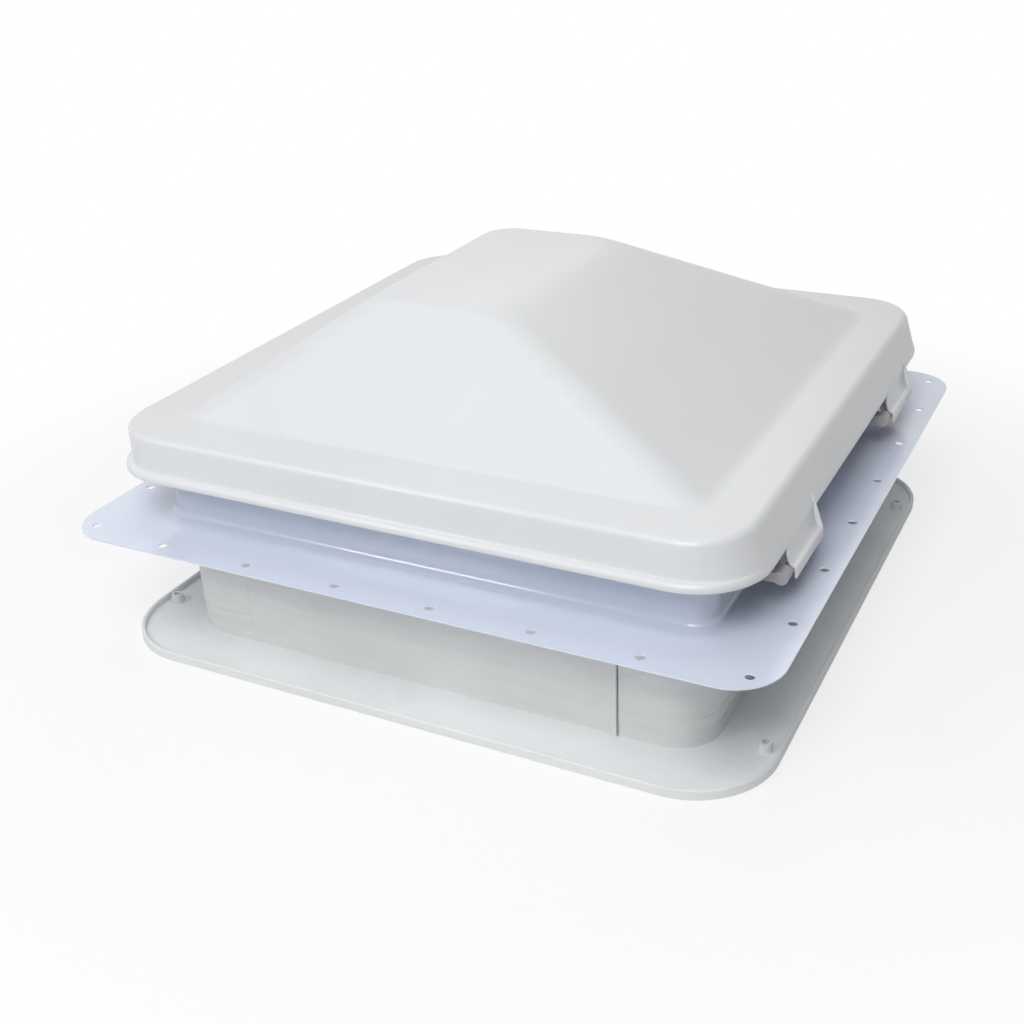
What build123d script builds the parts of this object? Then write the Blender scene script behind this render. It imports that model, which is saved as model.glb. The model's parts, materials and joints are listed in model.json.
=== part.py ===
from build123d import *
import os
from math import cos, pi, radians, sin

os.makedirs("parts", exist_ok=True)

# Caravan roof vent: all sizes are in millimetres, +Z is up, and the ceiling face is at Z zero.
# The hinge side is +X, and the vent is centred on the Z axis.

# Fits and clearances
overrun = 5.0
nudge = 0.01
fixed_fit = 0.03
running_fit = 0.08
moving_gap = 0.3
slide_gap = 0.4

# Roof cut-out that the vent goes through
cutout_half = 180.0
cutout_gap = 1.0

# Pressed roof flange
sheet = 0.9
flange_width = 46.0
flange_corner = 29.0
flange_level = 84.7
flange_hole_radius = 2.75
flange_hole_inset = 10.0
corner_hole_inset = 15.0
end_hole_inset = 71.0
holes_per_side = 6
neck_corner = 14.0
neck_bend = 5.5
neck_height = 52.0
neck_rim_width = 9.5

# Sleeve of four corner pieces and four side panels
sleeve_into_neck = 12.0
sleeve_wall = 3.1
sleeve_corner_radius = 27.6
seam_inset = 52.1
seam_gap = 0.8
seam_fit = 0.15
rib_width = 4.0
rib_stand = 1.8
rib_short_of_flange = 4.0
lap_length = 14.0
lap_wall = 2.0
lap_short_of_top = 5.0
trim_line_heights = (10.0, 18.0)
trim_line_width = 1.2
trim_line_depth = 0.3

# Ceiling garnish
garnish_width = 36.9
garnish_corner = 51.0
garnish_plate = 2.5
garnish_rim_height = 6.0
garnish_rim_width = 2.6
garnish_rim_round = 1.1
locating_wall = 2.0
locating_height = 7.5
boss_inset_x = 10.0
boss_inset_y = 57.0
boss_radius = 4.5
boss_height = 6.0
boss_taper = 9.5
boss_hole_radius = 2.0

# Insect screen
screen_level = 46.0
frame_depth = 5.0
frame_width = 13.0
frame_play = 0.4
frame_inner_corner = 36.0
rebate_width = 6.4
rebate_depth = 2.5
mesh_thickness = 0.6
mesh_pitch = 21.0
mesh_bar = 1.4
mesh_bars_per_side = 16
cord_width = 3.6
lug_height = 9.0
lug_radius = 6.0
lug_inset_from_frame = 11.1
screen_screw_radius = 1.6
screen_screw_head_radius = 3.2
screen_screw_head = 2.0
screen_screw_length = 12.0
grommet_radius = 12.0
grommet_core_radius = 8.0
grommet_lip = 1.5

# Moulded lid
lid_overhang = 22.0
lid_corner = 38.0
lid_wall = 2.5
lid_top_wall = 3.0
skirt_drop = 17.0
skirt_height = 27.0
skirt_round = 3.5
bead_stand = 4.5
bead_height = 5.0
bead_round = 3.0
bead_wall = 2.5
dome_height = 62.0
border_width_x = 33.5
border_width_y = 33.0
dome_base_corner = 16.0
plateau_corner = 18.0
plateau_corner_limit_share = 0.45
far_facet_share = 0.273134
hinge_facet_share = 0.470149
side_facet_share = 0.247024
dome_height_shares = (0.0, 0.935, 0.972, 0.993, 1.0)
dome_inset_shares = (0.0, 0.93, 0.975, 1.015, 1.06)
flare_inset = 51.0
flare_height = 21.0

# Lid seal
seal_width = 8.5

# Hinges
hinge_stand = 4.0
hinge_lift = 20.5
hinge_pin_radius = 2.0
hood_inset = 67.5
hood_half = 25.5
hood_wall = 2.0
hood_reach = 6.4
hood_drop = 3.5
hood_clear = 2.3
hood_round = 3.0
fin_rise = 19.0
fin_thickness = 2.0
knuckle_radius = 4.0
knuckle_side_gap = 0.5
near_knuckle = 9.0
far_knuckle = 5.0
knuckle_arm_height = 6.0
pin_blind_wall = 2.5
pin_tail = 3.0
clip_thickness = 0.8
clip_radius = 3.6
bracket_plate = 3.0
bracket_height = 20.0
rivet_radius = 2.0
rivet_head_radius = 3.6
rivet_head = 1.2
rivet_tail_radius = 3.0
rivet_tail = 1.0
bracket_rivet_spread = 24.0

# Lift linkage: arm pivot, arm and track make an isosceles triangle with the hinge
crest_gap = 8.0
closed_angle = 18.0
lid_travel = 55.0
arm_thickness = 3.0
arm_pivot_radius = 7.0
arm_tip_radius = 5.5
track_end_gap = 2.4
track_depth = 15.0
track_width = 18.6
track_wall = 1.5
track_slot = 6.0
ear_length = 12.0
ear_reach = 8.0
ear_inset = 24.0
track_screw_radius = 1.6
track_screw_head_radius = 3.0
track_screw_head = 1.8
track_screw_length = 7.0
track_boss_radius = 4.0
slider_length = 20.0
slider_pin_radius = 2.0

# Worm drive
tooth_module = 1.0
wheel_teeth = 30
worm_pitch_radius = 6.0
tooth_height_share = 0.9
tooth_depth_share = 1.2
tooth_root_share = 1.05
tooth_pitch_share = 0.575
tooth_tip_share = 0.25
wheel_width = 6.0
wheel_hub_radius = 7.0
drive_side = 15.0
worm_turns = 5
worm_shoulder = 3.0
worm_collar_radius = 6.5
worm_top_radius = 3.0
crank_shaft_radius = 4.0
arm_shaft_radius = 4.0
arm_square = 5.6
arm_stud_radius = 2.5
arm_stud_length = 6.5
washer_thickness = 1.0
washer_radius = 5.5
nut_height = 4.0
nut_flats_radius = 4.6

# Gear housing
worm_chamber_radius = 7.6
worm_chamber_half = 14.0
wheel_chamber_radius = 16.7
housing_wall = 1.9
housing_reach = 11.4
housing_end = 6.0
housing_round_radius = 20.5
housing_parting = 4.5
hub_step = 2.0
bush_wall = 1.4
cover_screw_radius = 1.5
cover_screw_head_radius = 2.8
cover_screw_head = 1.8
cover_screw_length = 14.0
cover_boss_radius = 4.0
cover_screw_inset = 3.4
mount_ear = 3.0
mount_ear_height = 20.0
mount_ear_reach = 11.0
mount_screw_radius = 2.0
mount_screw_head_radius = 3.8
mount_screw_head = 2.4
mount_screw_spread = 32.0
mount_nut_height = 3.2
mount_nut_radius = 4.0

# Operator bridge
bridge_sheet = 2.0
bridge_height = 26.0
bridge_flange = 15.0
bridge_tab = 24.0
bridge_rivet_rise = 6.5

# Crank knob
knob_radius = 19.0
knob_drop = 33.0
knob_height = 22.0
knob_floor = 5.0
knob_boss_radius = 8.0
knob_boss_height = 6.0
knob_flute_radius = 5.0
knob_flutes = 8
knob_edge = 1.5
knob_screw_radius = 1.7
knob_screw_length = 12.0
knob_screw_head_radius = 3.4
knob_screw_head = 2.2

# Levels and places that follow from the sizes above
neck_half = cutout_half - cutout_gap
flange_half = neck_half + flange_width
flange_under = flange_level - sheet
hole_pitch = 2 * (flange_half - end_hole_inset) / (holes_per_side - 1)
neck_top = flange_level + neck_height
neck_inner = neck_half - sheet
neck_rim_half = neck_half + neck_rim_width
sleeve_half = neck_inner
sleeve_top = flange_level + sleeve_into_neck
sleeve_inner = sleeve_half - sleeve_wall
seam_half = sleeve_half - seam_inset
garnish_half = sleeve_half + garnish_width
boss_x = garnish_half - boss_inset_x
boss_y = garnish_half - boss_inset_y
locating_inner = sleeve_inner - locating_wall
frame_half = sleeve_inner - lap_wall - frame_play
frame_inner = frame_half - frame_width
frame_corner = sleeve_corner_radius - (sleeve_half - frame_half)
frame_top = screen_level + frame_depth
rebate_half = frame_inner + rebate_width
rebate_corner = frame_inner_corner + rebate_width / 2
rebate_floor = frame_top - rebate_depth
mesh_half = rebate_half - moving_gap
lug_place = frame_half - lug_inset_from_frame
lid_half = neck_half + lid_overhang
lid_edge = neck_top - skirt_drop
border_level = lid_edge + skirt_height
bead_half = lid_half + bead_stand
lid_inner = lid_half - lid_wall
border_under = border_level - lid_top_wall
flare_half = lid_half - flare_inset
dome_half_x = lid_half - border_width_x
dome_half_y = lid_half - border_width_y
plateau_low_x = 2 * dome_half_x * far_facet_share - dome_half_x
plateau_high_x = dome_half_x - 2 * dome_half_x * hinge_facet_share
plateau_half_y = dome_half_y - 2 * dome_half_y * side_facet_share
seal_inner = neck_rim_half - seal_width
hinge_x = lid_half + hinge_stand
hinge_level = flange_level + hinge_lift
hood_centre = neck_half - hood_inset
hood_outer = hinge_x + hood_reach
hood_bottom = hinge_level - hood_drop
ledge_under = hinge_level + hood_clear
ledge_level = ledge_under + hood_wall

# The track line runs through the hinge axis, parallel to the long facet of the dome
facet_width = dome_half_x - plateau_high_x
facet_run = Vector(facet_width, 0, dome_height).length
track_cos = facet_width / facet_run
track_sin = dome_height / facet_run
track_along = Vector(-track_cos, 0, track_sin)
track_up = Vector(track_sin, 0, track_cos)
track_clear = -track_depth / 2
hinge_axis_point = Vector(hinge_x, 0, hinge_level)
lean_cos = cos(radians(closed_angle))
lean_sin = sin(radians(closed_angle))
slider_reach = (hinge_x - plateau_high_x) / track_cos - crest_gap
arm_length = slider_reach / (2 * lean_cos)
open_reach = 2 * arm_length * cos(radians(closed_angle + lid_travel))
track_high = slider_reach + slider_length / 2 + track_end_gap
track_low = open_reach - slider_length / 2 - track_end_gap
ear_places = (track_low + ear_inset, track_high - ear_inset)
pivot_along = track_along * lean_cos - track_up * lean_sin
pivot = hinge_axis_point + pivot_along * arm_length
slider_point = hinge_axis_point + track_along * slider_reach
wheel_radius = tooth_module * wheel_teeth / 2
worm_pitch = pi * tooth_module
worm_root_radius = worm_pitch_radius - tooth_module * tooth_depth_share
worm_x = pivot.X - wheel_radius - worm_pitch_radius
drive_y = -drive_side
housing_left = worm_x - housing_reach
housing_back = drive_y + worm_chamber_radius + housing_wall
housing_split = drive_y - housing_parting
cover_front = drive_y - worm_chamber_radius - housing_wall
housing_half = worm_chamber_half + housing_end
chamber_back = drive_y + wheel_width / 2 + hub_step
bridge_bottom = pivot.Z - bridge_height / 2
bridge_top = pivot.Z + bridge_height / 2
bridge_face = housing_left - bridge_sheet
knob_low = screen_level - knob_drop
knob_top = knob_low + knob_height
crank_shaft_low = knob_low + knob_floor


def rounded_block(half, corner, low, high, mode=Mode.ADD, base=Plane.XY):
    """Square block with rounded corners between two levels."""
    with BuildSketch(base.offset(low)) as outline:
        RectangleRounded(2 * half, 2 * half, corner)
    extrude(outline.sketch, amount=high - low, mode=mode)


def box_between(low, high, mode=Mode.ADD, base=Plane.XY):
    """Plain box between two corners of a plane's own frame."""
    with BuildSketch(base.offset(low[2])) as outline:
        with Locations(((low[0] + high[0]) / 2, (low[1] + high[1]) / 2)):
            Rectangle(high[0] - low[0], high[1] - low[1])
    extrude(outline.sketch, amount=high[2] - low[2], mode=mode)


def disc(plane, radius, length, mode=Mode.ADD):
    """Cylinder that starts on a plane and runs along its normal."""
    with BuildSketch(plane) as outline:
        Circle(radius)
    extrude(outline.sketch, amount=length, mode=mode)


def hexagon(plane, radius, length):
    """Six-sided prism that starts on a plane and runs along its normal."""
    with BuildSketch(plane) as outline:
        RegularPolygon(radius, 6, major_radius=True)
    extrude(outline.sketch, amount=length)


def along_x(x, y, z):
    """Plane at a point, facing +X."""
    return Plane(origin=(x, y, z), x_dir=(0, 1, 0), z_dir=(1, 0, 0))


def along_y(x, y, z):
    """Plane at a point, facing +Y."""
    return Plane(origin=(x, y, z), x_dir=(1, 0, 0), z_dir=(0, 1, 0))


def along_z(x, y, z):
    """Plane at a point, facing +Z."""
    return Plane(origin=(x, y, z))


def quarter_turn(count):
    """Horizontal plane turned by a number of right angles about the vent's centre."""
    angle = radians(90 * count)
    return Plane(origin=(0, 0, 0), x_dir=(cos(angle), sin(angle), 0), z_dir=(0, 0, 1))


def on_track(distance, rise, side=0.0):
    """Plane on the track line, facing away from it towards the lid."""
    place = hinge_axis_point + track_along * distance + track_up * rise + Vector(0, side, 0)
    return Plane(origin=place, x_dir=track_along, z_dir=track_up)


def across_track(distance):
    """Plane square to the track line, with its own Y towards the lid."""
    place = hinge_axis_point + track_along * distance
    return Plane(origin=place, x_dir=(0, -1, 0), z_dir=track_along)


def edges_inside(part, level, reach):
    """Edges that lie at one level within a square about the centre."""
    chosen = part.edges().filter_by_position(Axis.Z, level - nudge, level + nudge)
    return [edge for edge in chosen if edge.bounding_box().max.X < reach + nudge
            and edge.bounding_box().min.X > -reach - nudge]


def dome_form(drop):
    """Hipped dome through rounded rectangles, lowered by a wall thickness."""
    faces = []
    for rise_share, inset_share in zip(dome_height_shares, dome_inset_shares):
        low_x = inset_share * (dome_half_x + plateau_low_x) - dome_half_x
        high_x = dome_half_x - inset_share * (dome_half_x - plateau_high_x)
        half_y = dome_half_y - inset_share * (dome_half_y - plateau_half_y)
        corner = dome_base_corner + inset_share * (plateau_corner - dome_base_corner)
        corner = min(corner, plateau_corner_limit_share * (high_x - low_x))
        level = border_level - drop + rise_share * dome_height
        with BuildSketch(Plane.XY.offset(level)) as section:
            with Locations(((low_x + high_x) / 2, 0)):
                RectangleRounded(high_x - low_x, 2 * half_y, corner)
        faces.append(section.sketch)
    loft(faces, ruled=True)


def tooth_outline(inner_radius, pitch_radius, tip_radius):
    """Straight-sided tooth along the sketch's own X, from its root to its tip."""
    root = tooth_module * tooth_root_share
    middle = tooth_module * tooth_pitch_share
    tip = tooth_module * tooth_tip_share
    Polygon((inner_radius, -root), (pitch_radius, -middle), (tip_radius, -tip),
            (tip_radius, tip), (pitch_radius, middle), (inner_radius, root), align=None)


def save(piece, name):
    """Label a finished piece and write it as one STEP file."""
    piece.part.label = name
    export_step(piece.part, f"parts/{name}.step")


# Roof flange: flat flange, bend, straight neck that takes the sleeve as a push fit, and a rim
side_hole_shares = [index - (holes_per_side - 1) / 2 for index in range(holes_per_side)]
hole_line = flange_half - flange_hole_inset
corner_hole_line = flange_half - corner_hole_inset
neck_rivet_places = []
for side in (-1, 1):
    for lift in (-1, 1):
        neck_rivet_places.append((side, pivot.Z + lift * bridge_rivet_rise))
bridge_rivet_x = housing_left + bridge_tab / 2
bracket_low = hinge_level - bracket_height / 2
bracket_rivet_ys = []
for side in (-1, 1):
    for shift in (-1, 1):
        bracket_rivet_ys.append(side * hood_centre + shift * bracket_rivet_spread / 2)

with BuildPart() as roof_flange:
    rounded_block(flange_half, flange_corner, flange_under, flange_level)
    rounded_block(neck_half, neck_corner, flange_level, neck_top)
    rounded_block(neck_rim_half, neck_corner + neck_rim_width, neck_top - sheet, neck_top)
    fillet(edges_inside(roof_flange.part, flange_level, neck_half), neck_bend)
    rounded_block(neck_inner, neck_corner - sheet, flange_under, neck_top, Mode.SUBTRACT)
    fillet(edges_inside(roof_flange.part, flange_under, neck_half), neck_bend + sheet)
    with BuildSketch(Plane.XY.offset(flange_under)) as flange_holes:
        for turn in range(4):
            with Locations(Location((0, 0, 0), (0, 0, 90 * turn))):
                with Locations(*[(hole_line, share * hole_pitch) for share in side_hole_shares]):
                    Circle(flange_hole_radius)
                with Locations((corner_hole_line, corner_hole_line)):
                    Circle(flange_hole_radius)
    extrude(flange_holes.sketch, amount=sheet, mode=Mode.SUBTRACT)
    for side, level in neck_rivet_places:
        disc(along_y(bridge_rivet_x, side * neck_half - overrun, level),
             rivet_radius + fixed_fit, 2 * overrun, Mode.SUBTRACT)
    for place in bracket_rivet_ys:
        disc(along_x(neck_half - overrun, place, hinge_level), rivet_radius + fixed_fit,
             2 * overrun, Mode.SUBTRACT)
save(roof_flange, "roof_flange")

# Garnish: ceiling frame with a raised rim, a wall that locates the sleeve, and screw bosses
with BuildPart() as garnish:
    rounded_block(garnish_half, garnish_corner, 0, garnish_rim_height)
    rounded_block(garnish_half - garnish_rim_width, garnish_corner - garnish_rim_width,
                  garnish_plate, garnish_rim_height, Mode.SUBTRACT)
    rim_edges = garnish.edges().filter_by_position(Axis.Z, garnish_rim_height - nudge,
                                                   garnish_rim_height + nudge)
    fillet(rim_edges, garnish_rim_round)
    rounded_block(sleeve_inner, sleeve_corner_radius - sleeve_wall, garnish_plate,
                  garnish_plate + locating_height)
    rounded_block(locating_inner, sleeve_corner_radius - sleeve_wall - locating_wall, 0,
                  garnish_plate + locating_height, Mode.SUBTRACT)
    for side_x in (-1, 1):
        for side_y in (-1, 1):
            with BuildSketch(along_z(side_x * boss_x, side_y * boss_y, garnish_plate)) as boss:
                Circle(boss_radius)
            extrude(boss.sketch, amount=boss_height, taper=boss_taper)
            disc(along_z(side_x * boss_x, side_y * boss_y, 0), boss_hole_radius,
                 garnish_plate + boss_height, Mode.SUBTRACT)
save(garnish, "garnish")

# Sleeve corners: outer wall, inner laps behind the panels, screen lug and two trim lines
sleeve_low = garnish_plate
lap_low = garnish_plate + locating_height + slide_gap
lap_high = sleeve_top - lap_short_of_top
for turn, name in enumerate(("rear_right", "rear_left", "front_left", "front_right")):
    base = quarter_turn(turn)
    with BuildPart() as sleeve_corner:
        with BuildSketch(base.offset(frame_top)) as lug:
            with Locations((lug_place, lug_place)):
                Circle(lug_radius)
            with Locations(Location((lug_place + lug_radius, lug_place + lug_radius), 45)):
                Rectangle(2 * lug_radius, 2 * lug_radius)
        extrude(lug.sketch, amount=lug_height)
        rounded_block(sleeve_inner + sleeve_wall / 2, sleeve_corner_radius - sleeve_wall / 2,
                      frame_top - overrun, frame_top + lug_height + overrun, Mode.INTERSECT, base)
        with BuildSketch(base.offset(sleeve_low)) as wall:
            RectangleRounded(2 * sleeve_half, 2 * sleeve_half, sleeve_corner_radius)
            RectangleRounded(2 * sleeve_inner, 2 * sleeve_inner,
                             sleeve_corner_radius - sleeve_wall, mode=Mode.SUBTRACT)
            with Locations((seam_half, seam_half)):
                Rectangle(sleeve_half, sleeve_half, align=(Align.MIN, Align.MIN),
                          mode=Mode.INTERSECT)
        extrude(wall.sketch, amount=sleeve_top - sleeve_low)
        lap_ends = (seam_half - lap_length, sleeve_half - sleeve_corner_radius)
        box_between((sleeve_inner - lap_wall, lap_ends[0], lap_low),
                    (sleeve_inner, lap_ends[1], lap_high), base=base)
        box_between((lap_ends[0], sleeve_inner - lap_wall, lap_low),
                    (lap_ends[1], sleeve_inner, lap_high), base=base)
        with BuildSketch(base.offset(frame_top)) as pilot_hole:
            with Locations((lug_place, lug_place)):
                Circle(screen_screw_radius)
        extrude(pilot_hole.sketch, amount=lug_height, mode=Mode.SUBTRACT)
        for height in trim_line_heights:
            with BuildSketch(base.offset(sleeve_low + height)) as groove:
                RectangleRounded(2 * sleeve_half + overrun, 2 * sleeve_half + overrun,
                                 sleeve_corner_radius)
                RectangleRounded(2 * (sleeve_half - trim_line_depth),
                                 2 * (sleeve_half - trim_line_depth),
                                 sleeve_corner_radius - trim_line_depth, mode=Mode.SUBTRACT)
            extrude(groove.sketch, amount=trim_line_width, mode=Mode.SUBTRACT)
    save(sleeve_corner, f"sleeve_corner_{name}")

# Sleeve panels: plain wall with one upright rib beside the open seam
for turn, name in enumerate(("front", "right", "rear", "left")):
    base = quarter_turn(turn)
    panel_end = seam_half - seam_gap
    with BuildPart() as sleeve_panel:
        box_between((-seam_half + seam_fit, -sleeve_half, sleeve_low),
                    (panel_end, -sleeve_inner, sleeve_top), base=base)
        box_between((panel_end - rib_width, -sleeve_half - rib_stand, sleeve_low),
                    (panel_end, -sleeve_half, flange_under - rib_short_of_flange), base=base)
    save(sleeve_panel, f"sleeve_panel_{name}")

# Screen frame with a rebate for the mesh, and a screw hole at each corner
with BuildPart() as screen_frame:
    rounded_block(frame_half, frame_corner, screen_level, frame_top)
    rounded_block(frame_inner, frame_inner_corner, screen_level, frame_top, Mode.SUBTRACT)
    rounded_block(rebate_half, rebate_corner, rebate_floor, frame_top, Mode.SUBTRACT)
    with BuildSketch(Plane.XY.offset(screen_level)) as frame_holes:
        with GridLocations(2 * lug_place, 2 * lug_place, 2, 2):
            Circle(screen_screw_radius + running_fit)
    extrude(frame_holes.sketch, amount=frame_depth, mode=Mode.SUBTRACT)
save(screen_frame, "screen_frame")

with BuildPart() as insect_mesh:
    with BuildSketch(Plane.XY.offset(rebate_floor)) as mesh_outline:
        RectangleRounded(2 * mesh_half, 2 * mesh_half, rebate_corner - moving_gap)
        RectangleRounded(2 * frame_inner, 2 * frame_inner, frame_inner_corner, mode=Mode.SUBTRACT)
        bar_length = 2 * (frame_inner + rebate_width / 2)
        with GridLocations(mesh_pitch, 0, mesh_bars_per_side, 1):
            Rectangle(mesh_bar, bar_length)
        with GridLocations(0, mesh_pitch, 1, mesh_bars_per_side):
            Rectangle(bar_length, mesh_bar)
        with Locations((worm_x, drive_y)):
            Circle(grommet_radius)
            Circle(grommet_core_radius + fixed_fit, mode=Mode.SUBTRACT)
        RectangleRounded(2 * mesh_half, 2 * mesh_half, rebate_corner - moving_gap,
                         mode=Mode.INTERSECT)
    extrude(mesh_outline.sketch, amount=mesh_thickness)
save(insect_mesh, "insect_mesh")

with BuildPart() as mesh_cord:
    cord_low = rebate_floor + mesh_thickness
    rounded_block(mesh_half, rebate_corner - moving_gap, cord_low, frame_top)
    rounded_block(mesh_half - cord_width, rebate_corner - moving_gap - cord_width, cord_low,
                  frame_top, Mode.SUBTRACT)
save(mesh_cord, "mesh_cord")

with BuildPart() as shaft_grommet:
    grommet_place = (worm_x, drive_y)
    disc(along_z(*grommet_place, rebate_floor - grommet_lip), grommet_radius, grommet_lip)
    disc(along_z(*grommet_place, rebate_floor), grommet_core_radius, mesh_thickness)
    disc(along_z(*grommet_place, rebate_floor + mesh_thickness), grommet_radius, grommet_lip)
    disc(along_z(*grommet_place, rebate_floor - grommet_lip), crank_shaft_radius + slide_gap,
         mesh_thickness + 2 * grommet_lip, Mode.SUBTRACT)
save(shaft_grommet, "shaft_grommet")

with BuildPart() as screen_screws:
    for side_x in (-1, 1):
        for side_y in (-1, 1):
            place = (side_x * lug_place, side_y * lug_place)
            disc(along_z(*place, screen_level - screen_screw_head), screen_screw_head_radius,
                 screen_screw_head)
            disc(along_z(*place, screen_level), screen_screw_radius - fixed_fit,
                 screen_screw_length)
save(screen_screws, "screen_screws")

# Lid: skirt with a rolled bead, hipped dome and two hinge hoods
with BuildPart() as lid_cavity:
    rounded_block(lid_inner, lid_corner - lid_wall, lid_edge - overrun, border_under)
    fillet(edges_inside(lid_cavity.part, border_under, lid_inner), skirt_round - lid_wall)
    dome_form(lid_top_wall)
    for distance in ear_places:
        for side in (-1, 1):
            ear_side = side * (track_width + ear_reach) / 2
            disc(on_track(distance, track_clear + track_depth, ear_side), track_boss_radius,
                 dome_height, Mode.SUBTRACT)

with BuildPart() as lid:
    rounded_block(bead_half, lid_corner + bead_stand, lid_edge, lid_edge + bead_height)
    fillet(edges_inside(lid.part, lid_edge + bead_height, bead_half), bead_round)
    rounded_block(lid_half, lid_corner, lid_edge, border_level)
    fillet(edges_inside(lid.part, border_level, lid_half), skirt_round)
    dome_form(0)
    with BuildSketch(along_y(0, -flare_half, 0)) as flare:
        with BuildLine():
            Polyline((lid_half - lid_wall, -lid_edge), (bead_half, -lid_edge),
                     (bead_half, -lid_edge - bead_height / 2),
                     (lid_half - nudge, -lid_edge - flare_height),
                     (lid_half - lid_wall, -lid_edge - flare_height), close=True)
        make_face()
    extrude(flare.sketch, amount=2 * flare_half)
    add(lid_cavity.part, mode=Mode.SUBTRACT)
    rounded_block(bead_half - bead_wall, lid_corner + bead_stand - bead_wall, lid_edge,
                  lid_edge + bead_height - bead_round, Mode.SUBTRACT)
    for side in (-1, 1):
        hood_low = side * hood_centre - hood_half
        hood_high = side * hood_centre + hood_half
        with BuildSketch(along_y(0, hood_low, 0)) as hood:
            with BuildLine():
                Polyline((lid_inner, -lid_edge - bead_height), (lid_half, -lid_edge - bead_height),
                         (lid_half, -ledge_level), (hood_outer, -ledge_level),
                         (hood_outer, -hood_bottom), (hood_outer - hood_wall, -hood_bottom),
                         (hood_outer - hood_wall, -ledge_under), (lid_inner, -ledge_under),
                         close=True)
            make_face()
            ledge_corner = hood.vertices().group_by(Axis.X)[-1].sort_by(Axis.Y)[0]
            fillet(ledge_corner, hood_round)
        extrude(hood.sketch, amount=hood_high - hood_low)
        for fin_low in (hood_low, hood_high - fin_thickness):
            with BuildSketch(along_y(0, fin_low, 0)) as fin:
                with BuildLine():
                    Polyline((lid_inner, -ledge_under), (lid_inner, -hinge_level - fin_rise),
                             (lid_half, -hinge_level - fin_rise), (hood_outer, -ledge_level),
                             (hood_outer, -hood_bottom), (hinge_x - hood_drop, -hood_bottom),
                             (hinge_x - hood_drop, -hinge_level), close=True)
                make_face()
            extrude(fin.sketch, amount=fin_thickness)
        disc(along_y(hinge_x, hood_low - overrun, hinge_level), hinge_pin_radius + fixed_fit,
             hood_high - hood_low + 2 * overrun, Mode.SUBTRACT)
    for distance in ear_places:
        for side in (-1, 1):
            ear_side = side * (track_width + ear_reach) / 2
            disc(on_track(distance, track_clear + track_depth, ear_side), track_screw_radius,
                 track_screw_length - track_wall, Mode.SUBTRACT)
save(lid, "lid")

with BuildPart() as lid_seal:
    seal_corner = neck_corner + neck_rim_width
    rounded_block(neck_rim_half, seal_corner, neck_top + moving_gap, border_under)
    rounded_block(seal_inner, seal_corner - seal_width, neck_top + moving_gap, border_under,
                  Mode.SUBTRACT)
save(lid_seal, "lid_seal")

# Lift track: channel with inward lips, and four ears that screw to the lid's bosses
with BuildPart() as lift_track:
    with BuildSketch(across_track(track_low)) as channel:
        with Locations((0, track_clear)):
            Rectangle(track_width, track_depth, align=(Align.CENTER, Align.MIN))
        with Locations((0, track_clear + track_wall)):
            Rectangle(track_width - 2 * track_wall, track_depth - 2 * track_wall,
                      align=(Align.CENTER, Align.MIN), mode=Mode.SUBTRACT)
        with Locations((0, track_clear)):
            Rectangle(track_slot, track_wall, align=(Align.CENTER, Align.MIN), mode=Mode.SUBTRACT)
    extrude(channel.sketch, amount=track_high - track_low)
    for distance in ear_places:
        for side in (-1, 1):
            ear_side = side * (track_width + ear_reach) / 2
            with BuildSketch(on_track(distance, track_clear + track_depth - track_wall,
                                      ear_side)) as ear:
                Rectangle(ear_length, ear_reach + nudge)
                Circle(track_screw_radius + running_fit, mode=Mode.SUBTRACT)
            extrude(ear.sketch, amount=track_wall)
save(lift_track, "lift_track")

with BuildPart() as track_screws:
    for distance in ear_places:
        for side in (-1, 1):
            ear_side = side * (track_width + ear_reach) / 2
            under_ear = track_clear + track_depth - track_wall
            disc(on_track(distance, under_ear - track_screw_head, ear_side),
                 track_screw_head_radius, track_screw_head)
            disc(on_track(distance, under_ear, ear_side), track_screw_radius - fixed_fit,
                 track_screw_length - fixed_fit)
save(track_screws, "track_screws")

# Hinges: a riveted bracket with two knuckles, and a pin held in the lid's fins
clip_starts = []
for side, name in ((-1, "front"), (1, "rear")):
    centre = side * hood_centre
    near_face = centre - hood_half - knuckle_side_gap
    far_face = centre + hood_half + knuckle_side_gap
    knuckle_spans = ((near_face - near_knuckle, near_face), (far_face, far_face + far_knuckle))
    with BuildPart() as hinge_bracket:
        box_between((neck_half, knuckle_spans[0][0], bracket_low),
                    (neck_half + bracket_plate, knuckle_spans[1][1],
                     bracket_low + bracket_height))
        for start, end in knuckle_spans:
            box_between((neck_half + bracket_plate, start, hinge_level - knuckle_arm_height / 2),
                        (hinge_x, end, hinge_level + knuckle_arm_height / 2))
            disc(along_y(hinge_x, start, hinge_level), knuckle_radius, end - start)
        disc(along_y(hinge_x, knuckle_spans[0][0] + pin_blind_wall, hinge_level),
             hinge_pin_radius + running_fit, 2 * (hood_half + near_knuckle), Mode.SUBTRACT)
        for shift in (-1, 1):
            disc(along_x(neck_half, centre + shift * bracket_rivet_spread / 2, hinge_level),
                 rivet_radius + fixed_fit, bracket_plate, Mode.SUBTRACT)
    save(hinge_bracket, f"hinge_bracket_{name}")

    pin_start = knuckle_spans[0][0] + pin_blind_wall + moving_gap
    clip_start = knuckle_spans[1][1] + moving_gap
    clip_starts.append(clip_start)
    with BuildPart() as hinge_pin:
        disc(along_y(hinge_x, pin_start, hinge_level), hinge_pin_radius,
             clip_start + clip_thickness + pin_tail - pin_start)
    save(hinge_pin, f"hinge_pin_{name}")

with BuildPart() as pin_clips:
    for start in clip_starts:
        disc(along_y(hinge_x, start, hinge_level), clip_radius, clip_thickness)
        disc(along_y(hinge_x, start, hinge_level), hinge_pin_radius + fixed_fit, clip_thickness,
             Mode.SUBTRACT)
save(pin_clips, "pin_clips")

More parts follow.
